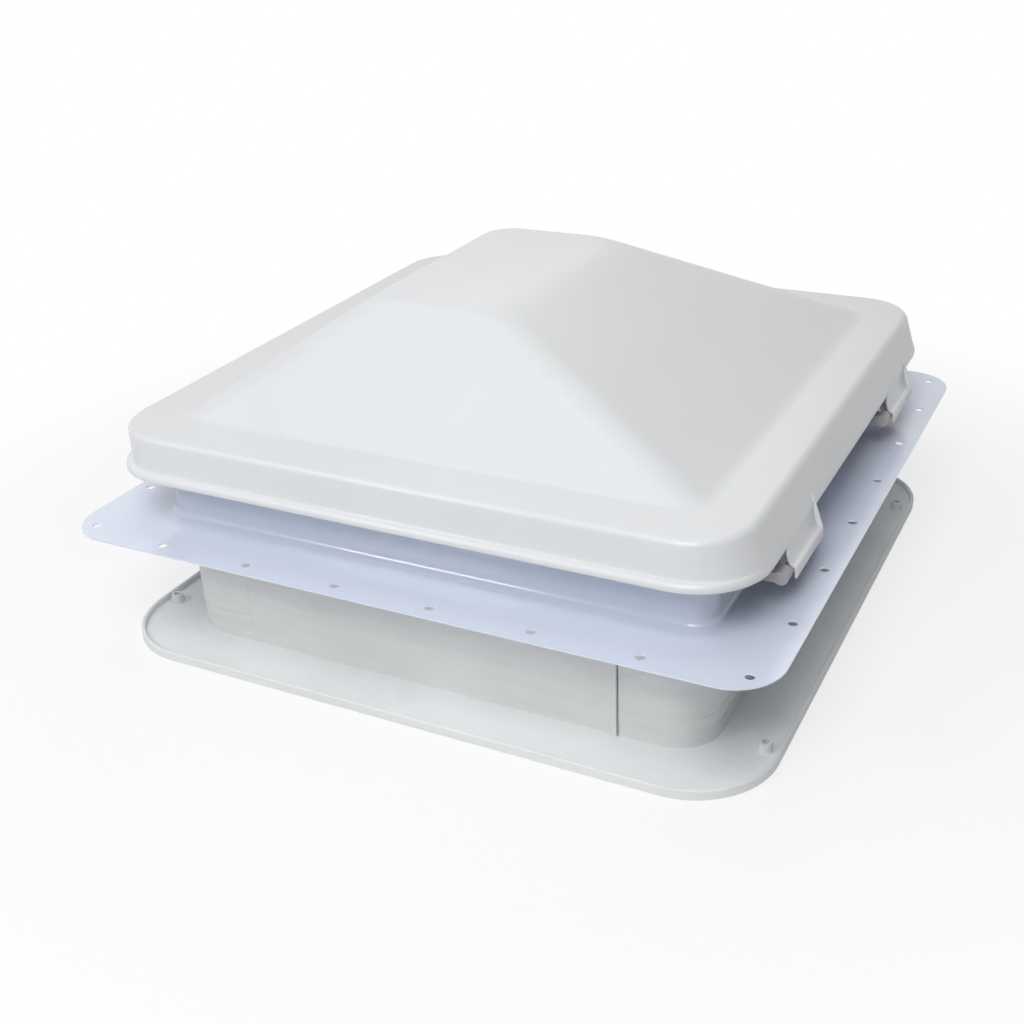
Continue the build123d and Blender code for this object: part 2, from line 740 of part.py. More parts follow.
with BuildPart() as bracket_rivets:
    for place in bracket_rivet_ys:
        inner_face = neck_inner
        outer_face = neck_half + bracket_plate
        disc(along_x(inner_face - rivet_tail, place, hinge_level), rivet_tail_radius, rivet_tail)
        disc(along_x(inner_face, place, hinge_level), rivet_radius, outer_face - inner_face)
        disc(along_x(outer_face, place, hinge_level), rivet_head_radius, rivet_head)
save(bracket_rivets, "bracket_rivets")

# Operator bridge: channel across the neck, with a bent tab at each end
with BuildPart() as operator_bridge:
    box_between((bridge_face, -neck_inner, bridge_bottom),
                (housing_left, neck_inner, bridge_top))
    for low in (bridge_bottom, bridge_top - bridge_sheet):
        box_between((bridge_face - bridge_flange, -neck_inner, low),
                    (bridge_face, neck_inner, low + bridge_sheet))
    for side in (-1, 1):
        tab_edges = sorted((side * neck_inner, side * (neck_inner - bridge_sheet)))
        box_between((housing_left, tab_edges[0], bridge_bottom),
                    (housing_left + bridge_tab, tab_edges[1], bridge_top))
    for side, level in neck_rivet_places:
        disc(along_y(bridge_rivet_x, side * neck_inner - overrun, level),
             rivet_radius + fixed_fit, 2 * overrun, Mode.SUBTRACT)
    for shift in (-1, 1):
        disc(along_x(bridge_face, drive_y + shift * mount_screw_spread / 2, pivot.Z),
             mount_screw_radius + running_fit, bridge_sheet, Mode.SUBTRACT)
save(operator_bridge, "operator_bridge")

with BuildPart() as bridge_rivets:
    for side, level in neck_rivet_places:
        tab_face = side * (neck_inner - bridge_sheet)
        shank = neck_half - neck_inner + bridge_sheet
        facing = Plane(origin=(bridge_rivet_x, tab_face, level), x_dir=(1, 0, 0), z_dir=(0, side, 0))
        disc(facing.offset(-rivet_tail), rivet_tail_radius, rivet_tail)
        disc(facing, rivet_radius, shank)
        disc(facing.offset(shank), rivet_head_radius, rivet_head)
save(bridge_rivets, "bridge_rivets")

# Gear housing and cover: wheel chamber, worm chamber, screw bosses and mounting ears
boss_turn_cos = cos(radians(45))
cover_screw_places = [
    (housing_left + cover_screw_inset, pivot.Z - housing_half + cover_screw_inset),
    (housing_left + cover_screw_inset, pivot.Z + housing_half - cover_screw_inset),
    (pivot.X + housing_round_radius * boss_turn_cos, pivot.Z - housing_round_radius * boss_turn_cos),
    (pivot.X + housing_round_radius * boss_turn_cos, pivot.Z + housing_round_radius * boss_turn_cos)]
worm_bottom = pivot.Z - worm_chamber_half
worm_bush_radius = crank_shaft_radius + running_fit + bush_wall
top_bush_radius = worm_top_radius + running_fit + bush_wall
arm_bush_radius = arm_shaft_radius + running_fit + bush_wall


def housing_outline(front, length):
    """Outer form of the housing or its cover, from one side to the other."""
    with BuildSketch(along_y(0, front, 0)) as outline:
        with Locations(((housing_left + pivot.X) / 2, -pivot.Z)):
            Rectangle(pivot.X - housing_left, 2 * housing_half)
        with Locations((pivot.X, -pivot.Z)):
            Circle(housing_half)
        with Locations(*[(place[0], -place[1]) for place in cover_screw_places[2:]]):
            Circle(cover_boss_radius)
    extrude(outline.sketch, amount=length)


def worm_chamber():
    """Upright chamber for the worm, with its two bush seats."""
    disc(along_z(worm_x, drive_y, worm_bottom), worm_chamber_radius, 2 * worm_chamber_half,
         Mode.SUBTRACT)
    disc(along_z(worm_x, drive_y, worm_bottom - housing_end), worm_bush_radius + fixed_fit,
         housing_end, Mode.SUBTRACT)
    disc(along_z(worm_x, drive_y, worm_bottom + 2 * worm_chamber_half),
         top_bush_radius + fixed_fit, housing_end, Mode.SUBTRACT)


with BuildPart() as gear_housing:
    housing_outline(housing_split, housing_back - housing_split)
    box_between((housing_left, drive_y - mount_screw_spread / 2 - mount_ear_reach / 2,
                 pivot.Z - mount_ear_height / 2),
                (housing_left + mount_ear, drive_y + mount_screw_spread / 2 + mount_ear_reach / 2,
                 pivot.Z + mount_ear_height / 2))
    disc(along_y(pivot.X, housing_split, pivot.Z), wheel_chamber_radius,
         chamber_back - housing_split, Mode.SUBTRACT)
    disc(along_y(pivot.X, chamber_back, pivot.Z), arm_bush_radius + fixed_fit,
         housing_back - chamber_back, Mode.SUBTRACT)
    worm_chamber()
    for place in cover_screw_places:
        disc(along_y(place[0], housing_split, place[1]), cover_screw_radius,
             cover_screw_length - (housing_split - cover_front), Mode.SUBTRACT)
    for shift in (-1, 1):
        disc(along_x(housing_left, drive_y + shift * mount_screw_spread / 2, pivot.Z),
             mount_screw_radius + running_fit, mount_ear, Mode.SUBTRACT)
save(gear_housing, "gear_housing")

with BuildPart() as gear_cover:
    housing_outline(cover_front, housing_split - cover_front)
    ear_notch = mount_ear_height / 2 + slide_gap
    box_between((housing_left, cover_front, pivot.Z - ear_notch),
                (housing_left + mount_ear + slide_gap, housing_split, pivot.Z + ear_notch),
                Mode.SUBTRACT)
    worm_chamber()
    disc(along_y(pivot.X, cover_front, pivot.Z), arm_bush_radius + fixed_fit,
         housing_split - cover_front, Mode.SUBTRACT)
    for place in cover_screw_places:
        disc(along_y(place[0], cover_front, place[1]), cover_screw_radius + running_fit,
             housing_split - cover_front, Mode.SUBTRACT)
save(gear_cover, "gear_cover")

with BuildPart() as cover_screws:
    for place in cover_screw_places:
        disc(along_y(place[0], cover_front - cover_screw_head, place[1]), cover_screw_head_radius,
             cover_screw_head)
        disc(along_y(place[0], cover_front, place[1]), cover_screw_radius - fixed_fit,
             cover_screw_length - fixed_fit)
save(cover_screws, "cover_screws")

with BuildPart() as mount_screws:
    for shift in (-1, 1):
        place = (drive_y + shift * mount_screw_spread / 2, pivot.Z)
        disc(along_x(housing_left + mount_ear, *place), mount_screw_head_radius, mount_screw_head)
        disc(along_x(bridge_face - mount_nut_height, *place), mount_screw_radius,
             mount_nut_height + bridge_sheet + mount_ear)
save(mount_screws, "mount_screws")

with BuildPart() as mount_nuts:
    for shift in (-1, 1):
        place = (drive_y + shift * mount_screw_spread / 2, pivot.Z)
        hexagon(along_x(bridge_face - mount_nut_height, *place), mount_nut_radius, mount_nut_height)
        disc(along_x(bridge_face - mount_nut_height, *place), mount_screw_radius + fixed_fit,
             mount_nut_height, Mode.SUBTRACT)
save(mount_nuts, "mount_nuts")

# Bushes for the worm and for the arm shaft
top_of_chamber = worm_bottom + 2 * worm_chamber_half
with BuildPart() as worm_bush_lower:
    disc(along_z(worm_x, drive_y, worm_bottom - housing_end), worm_bush_radius, housing_end)
    disc(along_z(worm_x, drive_y, worm_bottom - housing_end), crank_shaft_radius + running_fit,
         housing_end, Mode.SUBTRACT)
save(worm_bush_lower, "worm_bush_lower")

with BuildPart() as worm_bush_upper:
    disc(along_z(worm_x, drive_y, top_of_chamber), top_bush_radius, housing_end)
    disc(along_z(worm_x, drive_y, top_of_chamber), worm_top_radius + running_fit, housing_end,
         Mode.SUBTRACT)
save(worm_bush_upper, "worm_bush_upper")

for start, end, name in ((cover_front, housing_split, "front"), (chamber_back, housing_back, "rear")):
    with BuildPart() as arm_bush:
        disc(along_y(pivot.X, start, pivot.Z), arm_bush_radius, end - start)
        disc(along_y(pivot.X, start, pivot.Z), arm_shaft_radius + running_fit, end - start,
             Mode.SUBTRACT)
    save(arm_bush, f"arm_bush_{name}")

# Arm shaft, worm wheel, lift arm and its nut
arm_low = -arm_thickness / 2
arm_high = arm_thickness / 2
with BuildPart() as arm_shaft:
    disc(along_y(pivot.X, cover_front + moving_gap, pivot.Z), arm_shaft_radius,
         arm_low - cover_front - moving_gap)
    with BuildSketch(along_y(pivot.X, arm_low, pivot.Z)) as square:
        Rectangle(arm_square, arm_square)
    extrude(square.sketch, amount=arm_thickness)
    disc(along_y(pivot.X, arm_high, pivot.Z), arm_stud_radius, arm_stud_length)
save(arm_shaft, "arm_shaft")

with BuildPart() as worm_wheel:
    with BuildSketch(along_y(pivot.X, drive_y - wheel_width / 2, pivot.Z)) as teeth:
        wheel_root = wheel_radius - tooth_module * tooth_depth_share
        Circle(wheel_root)
        with PolarLocations(0, wheel_teeth):
            tooth_outline(wheel_root - tooth_module / 2, wheel_radius,
                          wheel_radius + tooth_module * tooth_height_share)
    extrude(teeth.sketch, amount=wheel_width)
    hub_start = housing_split + moving_gap
    disc(along_y(pivot.X, hub_start, pivot.Z), wheel_hub_radius, chamber_back - moving_gap - hub_start)
    disc(along_y(pivot.X, hub_start - overrun, pivot.Z), arm_shaft_radius + fixed_fit,
         chamber_back - hub_start + 2 * overrun, Mode.SUBTRACT)
save(worm_wheel, "worm_wheel")

arm_face = Plane(origin=(pivot.X, arm_high, pivot.Z), x_dir=(1, 0, 0), z_dir=(0, -1, 0))
arm_tip = (slider_point.X - pivot.X, slider_point.Z - pivot.Z)
with BuildPart() as lift_arm:
    with BuildSketch(arm_face) as arm_outline:
        Circle(arm_pivot_radius)
        with Locations(arm_tip):
            Circle(arm_tip_radius)
        make_hull()
        Rectangle(arm_square + 2 * fixed_fit, arm_square + 2 * fixed_fit, mode=Mode.SUBTRACT)
        with Locations(arm_tip):
            Circle(slider_pin_radius + running_fit, mode=Mode.SUBTRACT)
    extrude(arm_outline.sketch, amount=arm_thickness)
save(lift_arm, "lift_arm")

with BuildPart() as arm_nut:
    disc(along_y(pivot.X, arm_high, pivot.Z), washer_radius, washer_thickness)
    hexagon(along_y(pivot.X, arm_high + washer_thickness, pivot.Z), nut_flats_radius, nut_height)
    disc(along_y(pivot.X, arm_high, pivot.Z), arm_stud_radius + fixed_fit,
         washer_thickness + nut_height, Mode.SUBTRACT)
save(arm_nut, "arm_nut")

# Track slider: a shoe that runs in the channel, forked round the arm's tip, and its pin
with BuildPart() as track_slider:
    shoe_half_height = track_depth / 2 - track_wall - slide_gap
    shoe_half_width = track_width / 2 - track_wall - slide_gap
    shoe_plane = on_track(slider_reach, 0)
    box_between((-slider_length / 2, -shoe_half_width, -shoe_half_height),
                (slider_length / 2, shoe_half_width, shoe_half_height), base=shoe_plane)
    fork_half = arm_thickness / 2 + slide_gap
    box_between((-slider_length, -fork_half, -slider_length),
                (arm_tip_radius + slide_gap, fork_half, slider_length), Mode.SUBTRACT, shoe_plane)
    pin_side = Plane(origin=slider_point + Vector(0, -shoe_half_width, 0), x_dir=track_along,
                     z_dir=(0, 1, 0))
    disc(pin_side, slider_pin_radius + fixed_fit, 2 * shoe_half_width, Mode.SUBTRACT)
save(track_slider, "track_slider")

with BuildPart() as slider_pin:
    disc(pin_side, slider_pin_radius, 2 * shoe_half_width)
save(slider_pin, "slider_pin")

# Worm shaft: single-start worm on a long crank shaft that reaches down to the knob
thread_start = pivot.Z - worm_turns * worm_pitch / 2
thread_end = thread_start + worm_turns * worm_pitch
core_low = thread_start - worm_shoulder
core_high = top_of_chamber - moving_gap
with BuildPart() as worm_shaft:
    with BuildLine() as thread_path:
        Helix(worm_pitch, worm_turns * worm_pitch, worm_root_radius,
              center=(worm_x, drive_y, thread_start))
    thread_plane = Plane(origin=(worm_x, drive_y, thread_start), x_dir=(1, 0, 0), z_dir=(0, 1, 0))
    with BuildSketch(thread_plane) as thread_profile:
        tooth_outline(worm_root_radius - tooth_module / 2, worm_pitch_radius,
                      worm_pitch_radius + tooth_module * tooth_height_share)
    sweep(thread_profile.sketch, path=thread_path.line, is_frenet=True)
    disc(along_z(worm_x, drive_y, core_low), worm_root_radius, core_high - core_low)
    disc(along_z(worm_x, drive_y, core_high), worm_top_radius,
         top_of_chamber + housing_end - core_high)
    collar_low = worm_bottom + moving_gap
    disc(along_z(worm_x, drive_y, collar_low), worm_collar_radius, core_low - collar_low)
    disc(along_z(worm_x, drive_y, crank_shaft_low), crank_shaft_radius, collar_low - crank_shaft_low)
    disc(along_z(worm_x, drive_y, crank_shaft_low), knob_screw_radius, knob_screw_length,
         Mode.SUBTRACT)
save(worm_shaft, "worm_shaft")

# Crank knob: fluted, on the lower end of the shaft, held by one screw from below
with BuildPart() as crank_knob:
    with BuildSketch(along_z(worm_x, drive_y, knob_low)) as knob_outline:
        Circle(knob_radius)
        with PolarLocations(knob_radius + knob_flute_radius / 2, knob_flutes):
            Circle(knob_flute_radius, mode=Mode.SUBTRACT)
    extrude(knob_outline.sketch, amount=knob_height)
    rim_loops = [edge for edge in crank_knob.edges()
                 if edge.bounding_box().max.Z - edge.bounding_box().min.Z < nudge]
    fillet(rim_loops, knob_edge)
    disc(along_z(worm_x, drive_y, knob_top), knob_boss_radius, knob_boss_height)
    disc(along_z(worm_x, drive_y, crank_shaft_low), crank_shaft_radius + fixed_fit,
         knob_top + knob_boss_height - crank_shaft_low, Mode.SUBTRACT)
    disc(along_z(worm_x, drive_y, knob_low), knob_screw_radius + running_fit,
         crank_shaft_low - knob_low, Mode.SUBTRACT)
    disc(along_z(worm_x, drive_y, knob_low), knob_screw_head_radius + running_fit,
         knob_screw_head, Mode.SUBTRACT)
save(crank_knob, "crank_knob")

with BuildPart() as knob_screw:
    disc(along_z(worm_x, drive_y, knob_low), knob_screw_head_radius, knob_screw_head)
    disc(along_z(worm_x, drive_y, knob_low + knob_screw_head), knob_screw_radius - fixed_fit,
         crank_shaft_low - knob_low - knob_screw_head + knob_screw_length - fixed_fit)
save(knob_screw, "knob_screw")
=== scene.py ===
"""Caravan roof vent: its visible pieces, finishes and studio stage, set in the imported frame."""
import json
import math

import bmesh
import bpy
from bpy.props import FloatProperty, FloatVectorProperty, PointerProperty
from bpy.types import Operator, Panel, PropertyGroup
from mathutils import Matrix, Vector


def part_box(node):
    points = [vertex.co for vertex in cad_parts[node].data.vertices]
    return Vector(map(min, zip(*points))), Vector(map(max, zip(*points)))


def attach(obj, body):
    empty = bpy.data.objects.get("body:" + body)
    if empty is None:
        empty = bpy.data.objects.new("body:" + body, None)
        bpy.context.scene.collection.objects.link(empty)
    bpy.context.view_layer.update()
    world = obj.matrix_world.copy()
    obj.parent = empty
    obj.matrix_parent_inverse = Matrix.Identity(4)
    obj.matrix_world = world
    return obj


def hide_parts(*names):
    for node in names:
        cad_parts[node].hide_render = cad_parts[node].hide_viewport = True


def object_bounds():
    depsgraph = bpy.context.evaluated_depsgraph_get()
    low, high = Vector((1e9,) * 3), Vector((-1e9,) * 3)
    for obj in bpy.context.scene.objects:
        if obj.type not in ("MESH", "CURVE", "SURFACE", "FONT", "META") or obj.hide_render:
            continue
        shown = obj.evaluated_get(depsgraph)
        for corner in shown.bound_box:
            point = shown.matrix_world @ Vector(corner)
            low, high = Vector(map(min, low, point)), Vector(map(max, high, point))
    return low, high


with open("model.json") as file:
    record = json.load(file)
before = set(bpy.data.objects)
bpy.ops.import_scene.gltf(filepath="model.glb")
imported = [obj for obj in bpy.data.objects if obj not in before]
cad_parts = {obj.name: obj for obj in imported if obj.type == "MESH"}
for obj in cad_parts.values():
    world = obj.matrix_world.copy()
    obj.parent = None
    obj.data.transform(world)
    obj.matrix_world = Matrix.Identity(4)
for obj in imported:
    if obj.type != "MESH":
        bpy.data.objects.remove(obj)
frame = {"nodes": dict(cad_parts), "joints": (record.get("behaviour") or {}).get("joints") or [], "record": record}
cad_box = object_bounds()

bl_info = {
    "name": "Roof vent",
    "version": (1, 0, 0),
    "blender": (4, 5, 0),
    "location": "View3D > Sidebar > Roof vent",
    "description": "Models and finishes a hinged caravan roof vent in its packed frame",
    "category": "Mesh",
}

MM = 0.001
BODY_OF = {node: body for body, nodes in frame["record"]["behaviour"]["bodies"].items()
           for node in nodes}
JOINT = {joint["name"]: joint for joint in frame["joints"]}
SLOT_OF = {part["node"]: part["material_slot"] for part in frame["record"]["subparts"]}
HINGE = Vector(JOINT["lid_hinge"]["pos_m"])
SHAFT = Vector(JOINT["crank_turn"]["pos_m"])
finishes = {}


# ---------------------------------------------------------------- sizes and colours


def length(name, description, default):
    return FloatProperty(name=name, description=description, default=default, min=0.0,
                         unit="LENGTH", subtype="DISTANCE", precision=4)


def colour(name, description, default):
    return FloatVectorProperty(name=name, description=description, default=default, size=3,
                               min=0.0, max=1.0, subtype="COLOR")


class VentSizes(PropertyGroup):
    """Sizes of the moulded lid and of the gauze"""
    lid_half: length("Lid half width", "Centre to the outside of the skirt", 0.201)
    lid_corner: length("Lid corner", "Radius of the skirt's corners seen from above", 0.038)
    lid_wall: length("Lid wall", "Thickness of the moulded skirt", 0.0025)
    lid_top: length("Lid top", "Thickness of the border and the dome", 0.003)
    lid_edge: length("Lid edge", "Height of the lid's lower edge", 0.1197)
    border_level: length("Border level", "Height of the flat border round the dome", 0.1467)
    skirt_round: length("Skirt rounding", "Radius between the skirt and the border", 0.0035)
    bead_stand: length("Bead stand", "How far the bead stands out from the skirt", 0.0045)
    bead_height: length("Bead height", "Height of the bead along the lower edge", 0.005)
    flare_level: length("Flare level", "Height above the edge where the lean starts",
                        0.0025)
    hinge_side_top: length("Hinge side top", "Centre to the hinge side's upper edge", 0.1975)
    dome_height: length("Dome height", "Rise of the dome above the border", 0.062)
    strand_pitch: length("Gauze pitch", "Distance between the strands of the gauze", 0.0022)
    strand_width: length("Gauze wire", "Thickness of one strand of the gauze", 0.0004)


class VentColours(PropertyGroup):
    """Colours of the finishes"""
    lid: colour("Lid", "Moulded lid", (0.708, 0.722, 0.738))
    flange: colour("Flange", "Painted roof flange", (0.715, 0.765, 0.885))
    trim: colour("Trim", "Sleeve and ceiling frame", (0.79, 0.808, 0.80))
    bracket: colour("Bracket", "Hinge brackets", (0.46, 0.43, 0.44))


# ---------------------------------------------------------------- finishes


class Wire:
    """A shader socket that takes part in arithmetic by adding Math nodes."""

    def __init__(self, bench, socket):
        self.bench = bench
        self.socket = socket

    def maths(self, operation, *values):
        return self.bench.node("ShaderNodeMath", {"operation": operation},
                               dict(enumerate(values)))

    def __add__(self, other):
        return self.maths("ADD", self, other)

    def __radd__(self, other):
        return self.maths("ADD", other, self)

    def __sub__(self, other):
        return self.maths("SUBTRACT", self, other)

    def __rsub__(self, other):
        return self.maths("SUBTRACT", other, self)

    def __mul__(self, other):
        return self.maths("MULTIPLY", self, other)

    def __rmul__(self, other):
        return self.maths("MULTIPLY", other, self)


class Bench:
    """The node tree of one finish, or of the surroundings."""

    def __init__(self, name, store="materials"):
        self.material = getattr(bpy.data, store).new(name)
        self.material.use_nodes = True
        self.tree = self.material.node_tree
        self.tree.nodes.clear()

    def node(self, kind, settings=None, values=None, output=0):
        made = self.tree.nodes.new(kind)
        for key, value in (settings or {}).items():
            setattr(made, key, value)
        for key, value in (values or {}).items():
            if isinstance(value, Wire):
                self.tree.links.new(value.socket, made.inputs[key])
            else:
                made.inputs[key].default_value = value
        return Wire(self, made.outputs[output]) if made.outputs else None

    def place(self, scale=(1.0, 1.0, 1.0), turn=(0.0, 0.0, 0.0)):
        """Object coordinates, turned and then stretched."""
        spot = self.node("ShaderNodeTexCoord", output="Object")
        turned = self.node("ShaderNodeMapping", values={"Vector": spot, "Rotation": turn})
        return self.node("ShaderNodeVectorMath", {"operation": "MULTIPLY"},
                         {0: turned, 1: scale})

    def noise(self, spot, scale, detail=2.0, roughness=0.5):
        return self.node("ShaderNodeTexNoise", values={
            "Vector": spot, "Scale": scale, "Detail": detail, "Roughness": roughness})

    def cells(self, spot, scale):
        """Distance from the middle of the nearest cell."""
        return self.node("ShaderNodeTexVoronoi", values={"Vector": spot, "Scale": scale},
                         output="Distance")

    def step(self, value, low, high, start=0.0, end=1.0):
        """Smooth change from start to end while value goes from low to high."""
        return self.node("ShaderNodeMapRange", {"interpolation_type": "SMOOTHSTEP"}, {
            "Value": value, "From Min": low, "From Max": high, "To Min": start, "To Max": end})

    def mix(self, share, first, second):
        """Colour between two colours."""
        return self.node("ShaderNodeMix", {"data_type": "RGBA"},
                         {0: share, 6: first, 7: second}, output=2)

    def bump(self, height, strength, distance, under=None):
        values = {"Height": height, "Strength": strength, "Distance": distance}
        if under is not None:
            values["Normal"] = under
        return self.node("ShaderNodeBump", values=values)

    def surface(self, **values):
        """Principled surface; names use _ for the spaces of the sockets' names."""
        shader = self.node("ShaderNodeBsdfPrincipled",
                           values={key.replace("_", " "): value for key, value in values.items()})
        self.node("ShaderNodeOutputMaterial", values={"Surface": shader})
        return self.material


def tint(shade, share):
    """Opaque colour that is lighter or darker than another by a share."""
    return tuple(min(1.0, value * share) for value in shade) + (1.0,)


def lid_finish(shade):
    """Satin moulded plastic with fine dark specks, faint cloudiness and hairline scratches."""
    bench = Bench("lid_plastic")
    speck_colour, hair_colour = (0.22, 0.21, 0.20, 1.0), (0.5, 0.5, 0.5, 1.0)
    spot = bench.place()
    cloud = bench.noise(spot, scale=9.0, detail=3.0)
    cell = bench.cells(spot, scale=330.0)
    chosen = bench.noise(spot, scale=150.0, detail=1.0)
    specks = bench.step(cell, 0.06, 0.11, start=1.0, end=0.0) * bench.step(chosen, 0.66, 0.69)
    drawn_out = bench.place(scale=(6.0, 420.0, 6.0), turn=(0.0, 0.0, 0.5))
    lines = bench.noise(drawn_out, scale=1.0, detail=1.0)
    hair = bench.step(lines, 0.735, 0.76) * bench.step(bench.noise(spot, scale=14.0), 0.55, 0.62)
    plain = bench.mix(bench.step(cloud, 0.3, 0.7), tint(shade, 0.985), tint(shade, 1.012))
    specked = bench.mix(specks * 0.5, plain, speck_colour)
    peel = bench.noise(spot, scale=420.0, detail=2.0)
    slow = bench.noise(spot, scale=26.0, detail=1.0)
    waves = bench.bump(slow, strength=0.10, distance=0.004)
    normal = bench.bump(peel + hair * 0.6, strength=0.05, distance=0.001, under=waves)
    return bench.surface(Base_Color=bench.mix(hair * 0.14, specked, hair_colour),
                         Roughness=0.30 + 0.10 * cloud + 0.10 * hair, Specular_IOR_Level=0.5,
                         Coat_Weight=0.12, Coat_Roughness=0.12, Normal=normal)


def flange_finish(shade):
    """Glossy paint on pressed sheet: soft orange peel and a slight unevenness."""
    bench = Bench("flange_paint")
    dust_colour = (0.30, 0.31, 0.34, 1.0)
    spot = bench.place()
    cloud = bench.noise(spot, scale=7.0, detail=3.0)
    wiped = bench.place(scale=(5.0, 46.0, 20.0), turn=(0.0, 0.0, 0.25))
    smear = bench.noise(wiped, scale=1.0, detail=3.0)
    grain = bench.step(bench.cells(spot, scale=240.0), 0.07, 0.12, start=1.0, end=0.0)
    dust = grain * bench.step(bench.noise(spot, scale=90.0, detail=1.0), 0.64, 0.67)
    paint = bench.mix(cloud, tint(shade, 0.975), tint(shade, 1.02))
    peel = bench.noise(spot, scale=260.0, detail=1.5)
    slow = bench.noise(spot, scale=22.0, detail=1.0)
    waves = bench.bump(slow, strength=0.16, distance=0.006)
    normal = bench.bump(peel, strength=0.035, distance=0.001, under=waves)
    return bench.surface(Base_Color=bench.mix(dust * 0.35, paint, dust_colour),
                         Roughness=0.17 + 0.10 * smear, Specular_IOR_Level=0.5,
                         Coat_Weight=0.5, Coat_Roughness=0.05, Normal=normal)


def trim_finish(name, shade, grain=1500.0):
    """Matt moulded plastic with a fine grain, flow streaks and faint rub marks."""
    bench = Bench(name)
    spot = bench.place()
    cloud = bench.noise(spot, scale=11.0, detail=4.0, roughness=0.6)
    flow = bench.noise(bench.place(scale=(14.0, 14.0, 150.0)), scale=1.0, detail=3.0)
    rubbed = bench.place(scale=(30.0, 30.0, 260.0), turn=(0.0, 0.0, 0.4))
    rub = bench.step(bench.noise(rubbed, scale=1.0, detail=2.0), 0.64, 0.72)
    plain = bench.mix(bench.step(0.6 * cloud + 0.4 * flow, 0.35, 0.65),
                      tint(shade, 0.955), tint(shade, 1.03))
    fine = bench.noise(spot, scale=grain, detail=2.0)
    slow = bench.noise(spot, scale=30.0, detail=1.0)
    waves = bench.bump(slow, strength=0.10, distance=0.003)
    normal = bench.bump(fine, strength=0.10, distance=0.0006, under=waves)
    return bench.surface(Base_Color=bench.mix(rub * 0.18, plain, tint(shade, 0.82)),
                         Roughness=0.50 + 0.12 * fine - 0.10 * rub, Specular_IOR_Level=0.4,
                         Normal=normal)


def metal_finish(name, shade, roughness, stretch, turn=(0.0, 0.0, 0.0), dull=0.25):
    """Bare or plated metal with drawn lines, uneven plating and light dulling."""
    bench = Bench(name)
    spot = bench.place()
    cloud = bench.noise(spot, scale=60.0, detail=4.0, roughness=0.6)
    drawn = bench.noise(bench.place(stretch, turn), scale=1.0, detail=3.0)
    patches = bench.noise(spot, scale=130.0, detail=5.0, roughness=0.65)
    stain = bench.step(patches, 0.52, 0.70)
    plain = bench.mix(cloud, tint(shade, 0.90), tint(shade, 1.06))
    normal = bench.bump(drawn, strength=0.12, distance=0.0004)
    return bench.surface(Base_Color=bench.mix(stain * dull, plain, tint(shade, 0.62)),
                         Metallic=1.0 - 0.12 * stain,
                         Roughness=roughness + 0.16 * drawn + 0.14 * stain, Normal=normal)


def coated_finish(name, shade, roughness, grain, depth):
    """Coat or moulding with an even pebbled grain, its dips painted slightly darker as painted shade."""
    bench = Bench(name)
    spot = bench.place()
    pebble_and_dip_shade = bench.cells(spot, scale=grain)
    cloud = bench.noise(spot, scale=25.0, detail=3.0)
    normal = bench.bump(pebble_and_dip_shade, strength=depth, distance=0.0006)
    # painted shade: the pebbles' dips are coloured a little darker; the cloud part is the coat's own uneven tone
    return bench.surface(Base_Color=bench.mix(0.7 * cloud + 0.3 * pebble_and_dip_shade, tint(shade, 0.86),
                                              tint(shade, 1.10)),
                         Roughness=roughness + 0.12 * pebble_and_dip_shade, Specular_IOR_Level=0.4,
                         Normal=normal)


def rubber_finish(name, shade, pores):
    """Dark rubber or foam: open pores whose pits are painted darker as painted shade, a dusty bloom and a dull
    face.
    """
    bench = Bench(name)
    spot = bench.place()
    pore_and_pit_shade = bench.step(bench.cells(spot, scale=pores), 0.15, 0.5)
    bloom = bench.step(bench.noise(spot, scale=40.0, detail=4.0), 0.45, 0.75)
    # painted shade: the pores' pits are coloured half as bright as the face round them
    base = bench.mix(pore_and_pit_shade, tint(shade, 0.5), tint(shade, 1.15))
    return bench.surface(Base_Color=bench.mix(bloom * 0.22, base, tint(shade, 2.6)),
                         Roughness=0.70 + 0.2 * bloom, Specular_IOR_Level=0.35,
                         Normal=bench.bump(pore_and_pit_shade, strength=0.35, distance=0.0006))


